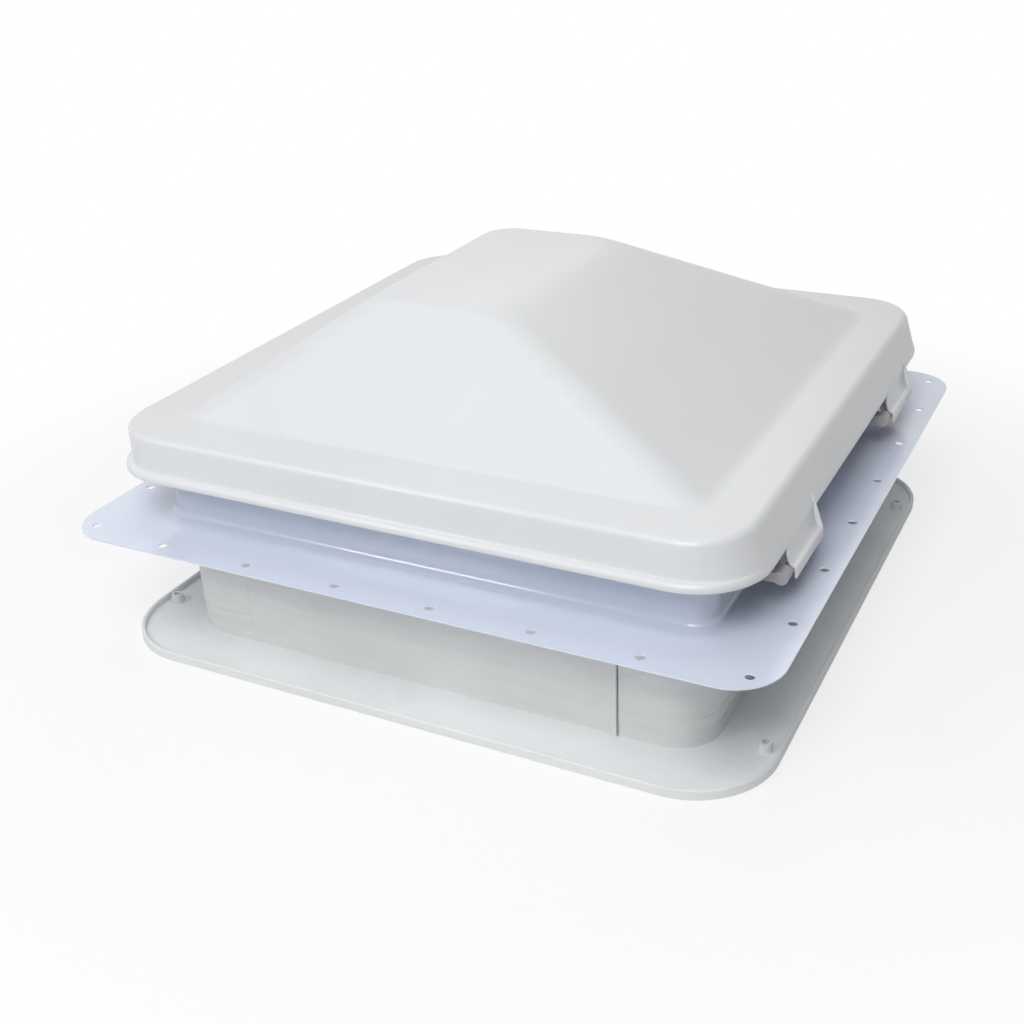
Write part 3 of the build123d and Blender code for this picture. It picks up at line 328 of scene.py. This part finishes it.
def make_finishes(colours):
    facet_lean = math.atan2(FACET_RISE, FACET_RUN)
    finishes.update({
        "lid_plastic": lid_finish(colours.lid),
        "flange_paint": flange_finish(colours.flange),
        "trim_plastic": trim_finish("trim_plastic", colours.trim),
        "knob_plastic": trim_finish("knob_plastic", tint(colours.trim, 0.97)[:3], 900.0),
        "bracket_plastic": trim_finish("bracket_plastic", colours.bracket, 1100.0),
        "slider_plastic": trim_finish("slider_plastic", (0.78, 0.76, 0.70), 1900.0),
        "rivet_metal": metal_finish("rivet_metal", (0.50, 0.52, 0.58), 0.42,
                                    (900.0, 900.0, 900.0)),
        "screw_steel": metal_finish("screw_steel", (0.62, 0.63, 0.65), 0.24,
                                    (700.0, 700.0, 700.0), dull=0.35),
        "arm_steel": metal_finish("arm_steel", (0.56, 0.57, 0.59), 0.26,
                                  (60.0, 900.0, 900.0), (0.0, facet_lean, 0.0)),
        "track_aluminium": metal_finish("track_aluminium", (0.76, 0.77, 0.79), 0.30,
                                        (25.0, 1400.0, 1400.0), (0.0, facet_lean, 0.0)),
        "bush_brass": metal_finish("bush_brass", (0.72, 0.54, 0.26), 0.22,
                                   (800.0, 800.0, 800.0)),
        "wheel_brass": metal_finish("wheel_brass", (0.76, 0.58, 0.28), 0.24,
                                    (700.0, 300.0, 700.0), dull=0.35),
        "bridge_paint": coated_finish("bridge_paint", (0.66, 0.67, 0.69), 0.38, 1300.0, 0.12),
        "housing_plastic": coated_finish("housing_plastic", (0.035, 0.035, 0.038), 0.46,
                                         1500.0, 0.30),
        "mesh_wire": coated_finish("mesh_wire", (0.10, 0.10, 0.11), 0.42, 2600.0, 0.15),
        "seal_foam": rubber_finish("seal_foam", (0.030, 0.030, 0.031), 1700.0),
        "dark_rubber": rubber_finish("dark_rubber", (0.040, 0.040, 0.042), 3200.0),
    })


# ---------------------------------------------------------------- making and placing pieces


def finished(form, name, *nodes, outwards=True, round_edges=0.0, sharp=35.0):
    """Turns a form into a finished piece that stands for its CAD nodes and moves with them."""
    if outwards:
        bmesh.ops.recalc_face_normals(form, faces=form.faces)
    mesh = bpy.data.meshes.new(name)
    form.to_mesh(mesh)
    form.free()
    mesh.shade_smooth()
    mesh.set_sharp_from_angle(angle=math.radians(sharp))
    piece = bpy.data.objects.new(name, mesh)
    bpy.context.scene.collection.objects.link(piece)
    slot = SLOT_OF[nodes[0]]
    mesh.materials.append(finishes[slot])
    if round_edges:
        soften = piece.modifiers.new("Rounded edges", "BEVEL")
        soften.width, soften.segments, soften.profile = round_edges, 2, 0.5
        soften.limit_method, soften.angle_limit = "ANGLE", math.radians(32.0)
        soften.harden_normals = True
    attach(piece, BODY_OF[nodes[0]])
    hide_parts(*nodes)
    return piece


def softened(node, name, width):
    """The CAD node's own shape with its sharp edges rounded off."""
    form = bmesh.new()
    form.from_mesh(frame["nodes"][node].data)
    bmesh.ops.remove_doubles(form, verts=form.verts, dist=2e-6)
    bmesh.ops.dissolve_limit(form, angle_limit=math.radians(0.6), verts=form.verts,
                             edges=form.edges)
    return finished(form, name, node, outwards=False, round_edges=width)


def open_edges(form):
    return [edge for edge in form.edges if edge.is_boundary]


class Rings:
    """A shell that grows ring by ring from one rounded rectangle."""

    def __init__(self, half_x, half_y, radius, level, centre=0.0, turns=9):
        self.form = bmesh.new()
        self.now = (half_x, half_y, radius, level, centre, 0.0)
        bmesh.ops.create_grid(self.form, x_segments=1, y_segments=1, size=0.5)
        wide = max(vert.co.x for vert in self.form.verts)
        bmesh.ops.scale(self.form, vec=(half_x / wide, half_y / wide, 1.0), verts=self.form.verts)
        bmesh.ops.bevel(self.form, geom=list(self.form.verts), offset=radius,
                        offset_type="OFFSET", segments=turns, profile=0.5, affect="VERTICES",
                        material=-1, clamp_overlap=False)
        bmesh.ops.translate(self.form, vec=(centre, 0.0, level), verts=self.form.verts)
        self.first = list(self.form.faces)
        self.start = open_edges(self.form)
        self.edge = self.start

    def stretch(self, verts, place, share):
        """Widens the two corners on the hinge side, measured from their centres."""
        bmesh.ops.scale(self.form, vec=(share, 1.0, 1.0),
                        space=Matrix.Translation((-place, 0.0, 0.0)),
                        verts=[vert for vert in verts if vert.co.x > place])

    def grow(self, half_x, half_y, radius, level, centre=0.0, lean=0.0):
        """One more ring, each of its corners scaled and moved as a whole."""
        old_x, old_y, old_radius, old_level, old_centre, old_lean = self.now
        grown = bmesh.ops.extrude_edge_only(self.form, edges=self.edge)["geom"]
        verts = [item for item in grown if isinstance(item, bmesh.types.BMVert)]
        self.edge = [item for item in grown if isinstance(item, bmesh.types.BMEdge)
                     and all(vert in verts for vert in item.verts)]
        if old_lean:
            self.stretch(verts, old_centre + old_x - old_radius,
                         old_radius / (old_radius + old_lean))
        for side_x in (-1, 1):
            for side_y in (-1, 1):
                group = [vert for vert in verts if (vert.co.x - old_centre) * side_x > 0
                         and vert.co.y * side_y > 0]
                old = Vector((old_centre + side_x * (old_x - old_radius),
                              side_y * (old_y - old_radius), old_level))
                new = Vector((centre + side_x * (half_x - radius), side_y * (half_y - radius),
                              level))
                bmesh.ops.scale(self.form, vec=(radius / old_radius, radius / old_radius, 1.0),
                                space=Matrix.Translation(-old), verts=group)
                bmesh.ops.translate(self.form, vec=new - old, verts=group)
        if lean:
            self.stretch(verts, centre + half_x - radius, (radius + lean) / radius)
        self.now = (half_x, half_y, radius, level, centre, lean)

    def square(self, half, radius, level, lean=0.0):
        self.grow(half, half, radius, level, lean=lean)

    def lid_over(self):
        """Closes the last ring with a flat face."""
        bmesh.ops.contextual_create(self.form, geom=self.edge)

    def join_ends(self):
        """Turns the shell into a closed ring by joining its last ring to its first."""
        bmesh.ops.delete(self.form, geom=self.first, context="FACES_ONLY")
        bmesh.ops.bridge_loops(self.form, edges=self.start + self.edge)


def plate(form, outline, along, round_edges):
    """Prism: an outline of a few points, carried along a vector, its edges rounded."""
    verts = [form.verts.new(point) for point in outline]
    face = form.faces.new(verts)
    carried = bmesh.ops.extrude_face_region(form, geom=[face])["geom"]
    moved = [item for item in carried if isinstance(item, bmesh.types.BMVert)]
    bmesh.ops.translate(form, vec=along, verts=moved)
    made = verts + moved
    edges = {edge for vert in made for edge in vert.link_edges}
    bmesh.ops.recalc_face_normals(form, faces=list({f for v in made for f in v.link_faces}))
    bmesh.ops.bevel(form, geom=list(edges), offset=round_edges, segments=2, profile=0.5,
                    affect="EDGES", material=-1, clamp_overlap=True)


def turned(form, profile, place, axis, turns):
    """Lathe work: a profile of (radius, height) points spun about an axis through a place."""
    frame_turn = Vector((0, 0, 1)).rotation_difference(Vector(axis)).to_matrix().to_4x4()
    set_down = Matrix.Translation(place) @ frame_turn
    points = [form.verts.new((radius, 0.0, height)) for radius, height in profile]
    edges = [form.edges.new(pair) for pair in zip(points, points[1:])]
    spun = bmesh.ops.spin(form, geom=points + edges, cent=(0, 0, 0), axis=(0, 0, 1),
                          angle=2 * math.pi, steps=turns, use_merge=True)
    made = {vert for edge in edges if edge.is_valid for vert in edge.verts}
    made.update(point for point in points if point.is_valid)
    made.update(item for item in spun["geom_last"] if isinstance(item, bmesh.types.BMVert))
    reached = set(made)
    queue = list(made)
    while queue:
        for edge in queue.pop().link_edges:
            for vert in edge.verts:
                if vert not in reached:
                    reached.add(vert)
                    queue.append(vert)
    reached = list(reached)
    bmesh.ops.remove_doubles(form, verts=reached, dist=1e-6)
    reached = [vert for vert in reached if vert.is_valid]
    bmesh.ops.transform(form, matrix=set_down, verts=reached)
    bmesh.ops.recalc_face_normals(form, faces=list({f for v in reached for f in v.link_faces}))


def arc(centre_in, centre_up, radius, start, end, steps):
    """Points of an arc in a profile, from one angle to another in degrees."""
    return [(centre_in + radius * math.cos(math.radians(start + (end - start) * i / steps)),
             centre_up + radius * math.sin(math.radians(start + (end - start) * i / steps)))
            for i in range(steps + 1)]


# ---------------------------------------------------------------- lid


# Insets of the dome's rings, as shares of the way from its foot to its plateau
DOME_STEPS = (-0.03, -0.02, -0.01, 0.0, 0.01, 0.02, 0.03, 0.2, 0.45, 0.7, 0.88, 0.90, 0.92, 0.94,
              0.96, 0.98, 1.0, 1.02, 1.04, 1.06)
# Dome at its foot and at its plateau, in mm: left side, right side, half depth and corner radius
DOME_FOOT = (-167.5, 167.5, 168.0, 16.0)
DOME_PLATEAU = (-76.0, 10.0, 85.0, 18.0)

# Bead: radius over its face, its wall, and its lower edge as (inside the face, above the edge)
BEAD_ROUND, BEAD_WALL = 0.003, 0.0025
BEAD_FOOT = ((BEAD_WALL, 0.0004), (0.0021, 0.0), (0.0008, 0.0), (0.0002, 0.0004), (0.0, 0.0012))
# Crease over the bead, as (outside the skirt, above the bead)
CREASE = ((0.0006, 0.0002), (0.0002, 0.0007), (0.0, 0.0014), (0.0, 0.008))
# How far the hinge side's inner face stands out behind the bead
INNER_LEAN = 0.0036

# Hinge hoods: the middle's distance from the lid's middle, half width and the sheet at the face
HOOD_PLACE, HOOD_HALF, HOOD_SHEET = 0.1115, 0.0255, 0.0014
# Face beyond the hinge line, ledge and fins' roof above it, lower edge below it
HOOD_REACH, HOOD_LEDGE, FIN_ROOF, HOOD_DROP = 0.0064, 0.0036, 0.0023, 0.0035
# Thickness of the fins, and how far the near one is set in from the hood's end
FIN_SHEET, NEAR_FIN_INSET = 0.002, 0.006

# Right facet of the dome, with the lift track under it: run and rise, and the way out of it
FACET_RUN, FACET_RISE = 0.1575, 0.062
FACET_UP = Vector((FACET_RISE, 0.0, FACET_RUN)).normalized()
# Lift linkage: hinge line to the plateau's edge, gap left there, the arm's angle to the track
# when shut, the lid's travel, and half the slider with its gap at the track's end
CREST_REACH, CREST_GAP, SHUT_ANGLE, LID_TRAVEL, TRACK_END = 0.195, 0.008, 18.0, 55.0, 0.0124
# Ears of the track: distance from its ends, from its middle and above the hinge line
EAR_INSET, EAR_SIDE, EAR_RISE = 0.024, 0.0133, 0.0075
# Boss over an ear, as (radius, height)
BOSS = ((0.0016, 0.0), (0.0036, 0.0), (0.004, 0.0004), (0.004, 0.010), (0.0048, 0.0145),
        (0.0048, 0.0172))


def dome_rise(share):
    """Height share of the dome at an inset share: soft foot, straight facet, rounded top."""
    foot, straight, top, slope = 0.03, 0.90, 1.06, 1.005
    if share < foot:
        return slope * (share + foot) ** 2 / (4 * foot)
    if share < straight:
        return slope * share
    part = (share - straight) / (top - straight)
    start = slope * straight
    return (start * (2 * part ** 3 - 3 * part ** 2 + 1)
            + slope * (top - straight) * (part ** 3 - 2 * part ** 2 + part)
            + (3 * part ** 2 - 2 * part ** 3))


def dome_ring(share, level, height):
    """Half sizes, corner, level and centre of the dome at an inset share."""
    low_x, high_x, half_y, radius = [
        (foot + share * (plateau - foot)) * MM for foot, plateau in zip(DOME_FOOT, DOME_PLATEAU)]
    return ((high_x - low_x) / 2, half_y, radius, level + dome_rise(share) * height,
            (low_x + high_x) / 2)


def lid_shell(sizes):
    """The lid's one closed wall, from under the plateau, down the skirt and over the top."""
    half, turn = sizes.lid_half, sizes.lid_corner
    inner, inner_turn = half - sizes.lid_wall, turn - sizes.lid_wall
    edge, top = sizes.lid_edge, sizes.border_level
    under = top - sizes.lid_top
    bead, bead_turn = half + sizes.bead_stand, turn + sizes.bead_stand
    bead_top = edge + sizes.bead_height
    bead_middle = bead_top - BEAD_ROUND
    foot = edge + sizes.flare_level

    def hinge_side(level):
        """Where the leaning hinge side stands at a level."""
        share = min(1.0, max(0.0, (level - foot) / (top - foot)))
        return bead + share * (sizes.hinge_side_top - bead)

    rows = [dome_ring(step, under, sizes.dome_height) for step in reversed(DOME_STEPS)]
    shell = Rings(*rows[0])
    for row in rows[1:]:
        shell.grow(*row)
    inner_round = sizes.skirt_round - sizes.lid_wall
    for wide, level in arc(inner - inner_round, under - inner_round, inner_round, 90, 0, 5):
        shell.square(wide, inner_turn + wide - inner, level, hinge_side(level) - half)
    shell.square(inner, inner_turn, bead_middle, INNER_LEAN)
    for wide, level in ((bead - BEAD_WALL, bead_middle - 0.0004),
                        *[(bead - inset, edge + rise) for inset, rise in BEAD_FOOT],
                        *arc(bead - BEAD_ROUND, bead_middle, BEAD_ROUND, 0, 82, 7)):
        shell.square(wide, bead_turn + wide - bead, level, max(0.0, hinge_side(level) - wide))
    for stand, rise in CREASE:
        level = bead_top + rise
        shell.square(half + stand, turn + stand, level, hinge_side(level) - half - stand)
    for wide, level in arc(half - sizes.skirt_round, top - sizes.skirt_round,
                           sizes.skirt_round, 0, 90, 6):
        shell.square(wide, turn + wide - half, level, hinge_side(level) - half)
    for step in DOME_STEPS:
        shell.grow(*dome_ring(step, top, sizes.dome_height))
    shell.lid_over()
    return shell.form


def hinge_hoods(form, sizes):
    """Two hoods on the hinge side: a thin sheet swept out to a ledge, with a fin near each end."""
    half, edge, rise = sizes.lid_half, sizes.lid_edge, sizes.lid_edge + sizes.flare_level
    ledge, bottom = HINGE.z + HOOD_LEDGE, HINGE.z - HOOD_DROP
    inner, reach = half - 0.001, HINGE.x + HOOD_REACH
    lip, wide = half + sizes.bead_stand + 0.0001, reach - 0.0015
    sweep = [(lip - 0.0028, edge + 0.0100)] + [
        (wide - (wide - lip) * math.cos(math.radians(angle)),
         rise + (ledge - rise) * math.sin(math.radians(angle))) for angle in range(0, 91, 10)]
    hood = [*sweep, (reach - 0.0005, ledge - 0.0004), (reach, ledge - 0.0015), (reach, bottom),
            (reach - HOOD_SHEET, bottom), (reach - HOOD_SHEET, ledge - 0.0018),
            *[(x - HOOD_SHEET, z - 0.001) for x, z in reversed(sweep)]]
    foot = [(HINGE.x - 0.0035, bottom), (HINGE.x - 0.0035, HINGE.z), (inner, HINGE.z + FIN_ROOF)]
    far_fin = [(inner, edge + 0.007), (half + 0.0036, edge + 0.007),
               (reach - 0.0006, ledge + 0.0005), (reach - 0.0003, ledge - 0.001),
               (reach - 0.0003, bottom), *foot]
    near_fin = [(inner, edge + 0.003), *[(x - 0.0005, z - 0.0003) for x, z in sweep],
                (reach - 0.0006, ledge - 0.0015), (reach - 0.0006, bottom), *foot]
    for side in (-1, 1):
        low, high = side * HOOD_PLACE - HOOD_HALF, side * HOOD_PLACE + HOOD_HALF
        near = low + NEAR_FIN_INSET
        for outline, start, end, soft in ((hood, low, high, 0.0003),
                                          (near_fin, near, near + FIN_SHEET, 0.0003),
                                          (far_fin, high - FIN_SHEET, high, 0.0004)):
            plate(form, [(x, start, z) for x, z in outline], (0, end - start, 0), soft)


def track_fixings():
    """Places of the lid's four bosses, on the upper face of the track's ears."""
    run = math.hypot(FACET_RUN, FACET_RISE)
    along = Vector((-FACET_RUN, 0.0, FACET_RISE)) / run
    reach = CREST_REACH * run / FACET_RUN - CREST_GAP
    arm = reach / (2 * math.cos(math.radians(SHUT_ANGLE)))
    open_reach = 2 * arm * math.cos(math.radians(SHUT_ANGLE + LID_TRAVEL))
    low, high = open_reach - TRACK_END, reach + TRACK_END
    return [HINGE + along * place + FACET_UP * EAR_RISE + Vector((0, side * EAR_SIDE, 0))
            for place in (low + EAR_INSET, high - EAR_INSET) for side in (-1, 1)]


class VENT_OT_lid(Operator):
    """Moulded lid: dome, border, skirt, bead, leaning hinge side, hinge hoods and track bosses"""
    bl_idname = "vent.lid"
    bl_label = "Lid"

    def execute(self, context):
        sizes = context.scene.vent_sizes
        form = lid_shell(sizes)
        hinge_hoods(form, sizes)
        for ear in track_fixings():
            turned(form, BOSS, ear, FACET_UP, 24)
        finished(form, "moulded_lid", "lid", outwards=False, sharp=28.0)
        return {"FINISHED"}


SEAL_WIDTH, SEAL_CORNER = 0.0085, 0.0235


class VENT_OT_seal(Operator):
    """Foam seal under the lid, soft at its edges and slightly crowned"""
    bl_idname = "vent.seal"
    bl_label = "Lid seal"

    def execute(self, context):
        low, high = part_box("lid_seal")
        outer, inner = high.x, high.x - SEAL_WIDTH
        foot, roof = low.z, high.z
        start = outer - 0.0008
        ring = Rings(start, start, SEAL_CORNER + start - outer, roof, turns=10)
        for wide, level in ((outer, roof - 0.001), (outer + 0.0002, (foot + roof) / 2),
                            (outer - 0.0002, foot + 0.0014), (outer - 0.0014, foot + 0.0003),
                            ((outer + inner) / 2, foot), (inner + 0.0014, foot + 0.0003),
                            (inner + 0.0002, foot + 0.0014), (inner - 0.0002, (foot + roof) / 2),
                            (inner, roof - 0.001), (inner + 0.0008, roof)):
            ring.square(wide, SEAL_CORNER + wide - outer, level)
        ring.join_ends()
        finished(ring.form, "foam_seal", "lid_seal")
        return {"FINISHED"}


# ---------------------------------------------------------------- screen


# Corner radius of the gauze and the cord, half the cord's width, the hole round the shaft, and
# how far each layer of strands lies off the middle, as a share of a strand
SCREEN_CORNER, CORD_HALF, GAUZE_HOLE, STRAND_SHIFT = 0.0389, 0.0018, 0.0082, 0.45
CORD_SIDES = 12
# Grommet: radii of its bore and its waist, thickness of its lips, and their soft edges
GROMMET_BORE, GROMMET_WAIST, GROMMET_LIP = 0.0044, 0.008, 0.0015
GROMMET_SOFT, GROMMET_ROUND = 0.0003, 0.0008


def gauze(sizes):
    """Two layers of straight strands, cut to a rounded square with a hole for the shaft."""
    low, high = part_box("insect_mesh")
    half, wire = high.x, sizes.strand_width
    middle = (low.z + high.z) / 2
    count = int(half * 2 / sizes.strand_pitch) - 1
    form = bmesh.new()
    for across in (0, 1):
        level = middle + (STRAND_SHIFT if across else -STRAND_SHIFT) * wire
        core, beside = (SHAFT.y, SHAFT.x) if across else (SHAFT.x, SHAFT.y)
        for index in range(count):
            side = (index - (count - 1) / 2) * sizes.strand_pitch
            over = max(0.0, abs(side) - (half - SCREEN_CORNER))
            reach = half - SCREEN_CORNER + math.sqrt(SCREEN_CORNER ** 2 - over ** 2)
            runs = [(-reach, reach)]
            off = side - beside
            if abs(off) < GAUZE_HOLE:
                gap = math.sqrt(GAUZE_HOLE ** 2 - off ** 2)
                runs = [(-reach, core - gap), (core + gap, reach)]
            for start, end in runs:
                centre = ((start + end) / 2, side, level)
                size = (end - start, wire, wire)
                if across:
                    centre, size = (side, (start + end) / 2, level), (wire, end - start, wire)
                bmesh.ops.create_cube(form, size=1.0, matrix=Matrix.Translation(centre)
                                      @ Matrix.Diagonal((*size, 1.0)))
    return form


def cord():
    """Round cord that lies over the gauze's edge, as one closed ring."""
    low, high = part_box("mesh_cord")
    middle, upright = (low.z + high.z) / 2, (high.z - low.z) / 2
    line = high.x - CORD_HALF
    ring = Rings(line, line, SCREEN_CORNER - CORD_HALF, middle + upright)
    for step in range(1, CORD_SIDES):
        angle = math.radians(90 - 360 / CORD_SIDES * step)
        wide = line + CORD_HALF * math.cos(angle)
        ring.square(wide, SCREEN_CORNER + wide - high.x, middle + upright * math.sin(angle))
    ring.join_ends()
    return ring.form


def grommet():
    """Rubber grommet with a lip on each face of the gauze."""
    low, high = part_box("shaft_grommet")
    wide, tall = (high.x - low.x) / 2, high.z - low.z
    lower = [(GROMMET_BORE, GROMMET_SOFT), (GROMMET_BORE + GROMMET_SOFT, 0.0),
             (wide - GROMMET_ROUND, 0.0), (wide - 0.0002, GROMMET_SOFT), (wide, GROMMET_ROUND),
             (wide - GROMMET_SOFT, GROMMET_LIP - 0.0002), (GROMMET_WAIST, GROMMET_LIP)]
    upper = [(radius, tall - height) for radius, height in reversed(lower)]
    form = bmesh.new()
    turned(form, lower + upper + lower[:1], (SHAFT.x, SHAFT.y, low.z), (0, 0, 1), 48)
    return form


class VENT_OT_screen(Operator):
    """Insect gauze of crossed strands, the cord that holds it and the shaft's grommet"""
    bl_idname = "vent.screen"
    bl_label = "Insect screen"

    def execute(self, context):
        finished(gauze(context.scene.vent_sizes), "gauze", "insect_mesh")
        finished(cord(), "retaining_cord", "mesh_cord")
        finished(grommet(), "rubber_grommet", "shaft_grommet")
        return {"FINISHED"}


# ---------------------------------------------------------------- carried-over pieces


SOFT_EDGES = {
    "hinge_bracket_front": ("hinge_bracket_front_moulding", 0.0005),
    "hinge_bracket_rear": ("hinge_bracket_rear_moulding", 0.0005),
    "screen_frame": ("screen_frame_moulding", 0.0004),
    "operator_bridge": ("folded_bridge", 0.0003),
    "gear_housing": ("gear_housing_moulding", 0.0004),
    "gear_cover": ("gear_cover_moulding", 0.0004),
    "lift_track": ("drawn_track", 0.0002),
    "lift_arm": ("punched_arm", 0.0003),
    "track_slider": ("moulded_slider", 0.0004),
}


class VENT_OT_fittings(Operator):
    """Brackets, screen frame and lift parts with their edges rounded off"""
    bl_idname = "vent.fittings"
    bl_label = "Fittings"

    def execute(self, context):
        for node, (name, width) in SOFT_EDGES.items():
            softened(node, name, width)
        return {"FINISHED"}


class VENT_OT_finishes(Operator):
    """Finishes of every piece, laid on the CAD shapes that stay"""
    bl_idname = "vent.finishes"
    bl_label = "Finishes"

    def execute(self, context):
        make_finishes(context.scene.vent_colours)
        for node, piece in frame["nodes"].items():
            if not piece.data.materials:
                piece.data.materials.append(None)
            for place in piece.material_slots:
                place.material = finishes[SLOT_OF[node]]
        return {"FINISHED"}


# ---------------------------------------------------------------- stage


# Floor: radius and how far it lies below the object
FLOOR_RADIUS, FLOOR_GAP = 6.0, 0.0005
# Soft lamps: name, place, side and watts; all are white and look at one point
LAMPS = (("front_left", (-0.9, -1.5, 1.2), 0.4, 5.4),
         ("front_high", (0.35, -1.25, 1.6), 1.0, 22.6),
         ("overhead", (-0.2, 0.3, 1.9), 1.6, 7.9),
         ("left", (-1.2, -0.9, 1.6), 1.0, 3.6),
         ("rear", (-0.6, 1.6, 1.3), 1.0, 1.9))
LAMPS_AIM = Vector((0.0, 0.0, 0.1))
WHITE = (1.0, 1.0, 1.0, 1.0)


def seen_directly(bench):
    """1 where the camera, a reflection or a view through glass looks, and 0 for other light."""
    looks = [bench.node("ShaderNodeLightPath", output=name) for name in
             ("Is Camera Ray", "Is Glossy Ray", "Is Transmission Ray")]
    return looks[0].maths("MINIMUM", looks[0] + looks[1] + looks[2], 1.0)


class VENT_OT_stage(Operator):
    """Pale floor, soft lamps, white surroundings and the camera"""
    bl_idname = "vent.stage"
    bl_label = "Stage"

    def execute(self, context):
        scene = context.scene
        form = bmesh.new()
        bmesh.ops.create_circle(form, cap_ends=True, radius=FLOOR_RADIUS, segments=64)
        bmesh.ops.translate(form, vec=(0, 0, cad_box[0][2] - FLOOR_GAP), verts=form.verts)
        mesh = bpy.data.meshes.new("floor")
        form.to_mesh(mesh)
        form.free()
        floor = bpy.data.objects.new("floor", mesh)
        scene.collection.objects.link(floor)
        bench = Bench("floor_white")
        spot = bench.node("ShaderNodeTexCoord", output="Object")
        away = bench.node("ShaderNodeVectorMath", {"operation": "LENGTH"}, {0: spot},
                          output="Value")
        plain = bench.node("ShaderNodeBsdfDiffuse", values={"Color": (0.90, 0.90, 0.90, 1.0)})
        white = bench.node("ShaderNodeEmission", values={"Color": WHITE, "Strength": 1.0})
        share = seen_directly(bench) * bench.step(away, 0.30, 0.62, start=0.72, end=1.0)
        mixed = bench.node("ShaderNodeMixShader", values={0: share, 1: plain, 2: white})
        bench.node("ShaderNodeOutputMaterial", values={"Surface": mixed})
        mesh.materials.append(bench.material)

        bench = Bench("surroundings", "worlds")
        light = bench.node("ShaderNodeBackground", values={
            "Color": (0.96, 0.98, 1.0, 1.0), "Strength": 0.13})
        white = bench.node("ShaderNodeBackground", values={"Color": WHITE, "Strength": 1.0})
        mixed = bench.node("ShaderNodeMixShader",
                           values={0: seen_directly(bench), 1: light, 2: white})
        bench.node("ShaderNodeOutputWorld", values={"Surface": mixed})
        scene.world = bench.material

        for name, place, size, watts in LAMPS:
            lamp = bpy.data.lights.new(name, "AREA")
            lamp.shape, lamp.size, lamp.energy = "SQUARE", size, watts
            stand = bpy.data.objects.new(name, lamp)
            stand.location = place
            aim = LAMPS_AIM - Vector(place)
            stand.rotation_euler = aim.to_track_quat("-Z", "Y").to_euler()
            scene.collection.objects.link(stand)

        lens = bpy.data.cameras.new("camera")
        lens.lens, lens.sensor_width = 47.511, 36.0
        lens.shift_x, lens.shift_y = -0.01277, -0.00071
        lens.clip_start, lens.clip_end = 0.05, 50.0
        camera = bpy.data.objects.new("camera", lens)
        camera.location = (0.370833, -0.749412, 0.463581)
        camera.rotation_euler = tuple(math.radians(v) for v in (62.91378, 2.14869, 26.46305))
        scene.collection.objects.link(camera)
        scene.camera = camera
        scene.view_settings.view_transform = "Standard"
        return {"FINISHED"}


class VENT_PT_panel(Panel):
    """Roof vent pieces"""
    bl_idname = "VENT_PT_panel"
    bl_label = "Roof vent"
    bl_space_type = "VIEW_3D"
    bl_region_type = "UI"
    bl_category = "Roof vent"

    def draw(self, context):
        for step in STEPS:
            self.layout.operator(step.bl_idname)
        for group in (context.scene.vent_sizes, context.scene.vent_colours):
            for name in group.bl_rna.properties.keys():
                if name not in ("rna_type", "name"):
                    self.layout.prop(group, name)


STEPS = (VENT_OT_finishes, VENT_OT_lid, VENT_OT_seal, VENT_OT_screen, VENT_OT_fittings,
         VENT_OT_stage)
CLASSES = (VentSizes, VentColours, *STEPS, VENT_PT_panel)


def register():
    for item in CLASSES:
        bpy.utils.register_class(item)
    bpy.types.Scene.vent_sizes = PointerProperty(type=VentSizes)
    bpy.types.Scene.vent_colours = PointerProperty(type=VentColours)


def unregister():
    del bpy.types.Scene.vent_colours
    del bpy.types.Scene.vent_sizes
    for item in reversed(CLASSES):
        bpy.utils.unregister_class(item)


def main():
    register()
    bpy.ops.vent.finishes()
    bpy.ops.vent.lid()
    bpy.ops.vent.seal()
    bpy.ops.vent.screen()
    bpy.ops.vent.fittings()
    bpy.ops.vent.stage()


if __name__ == "__main__":
    main()
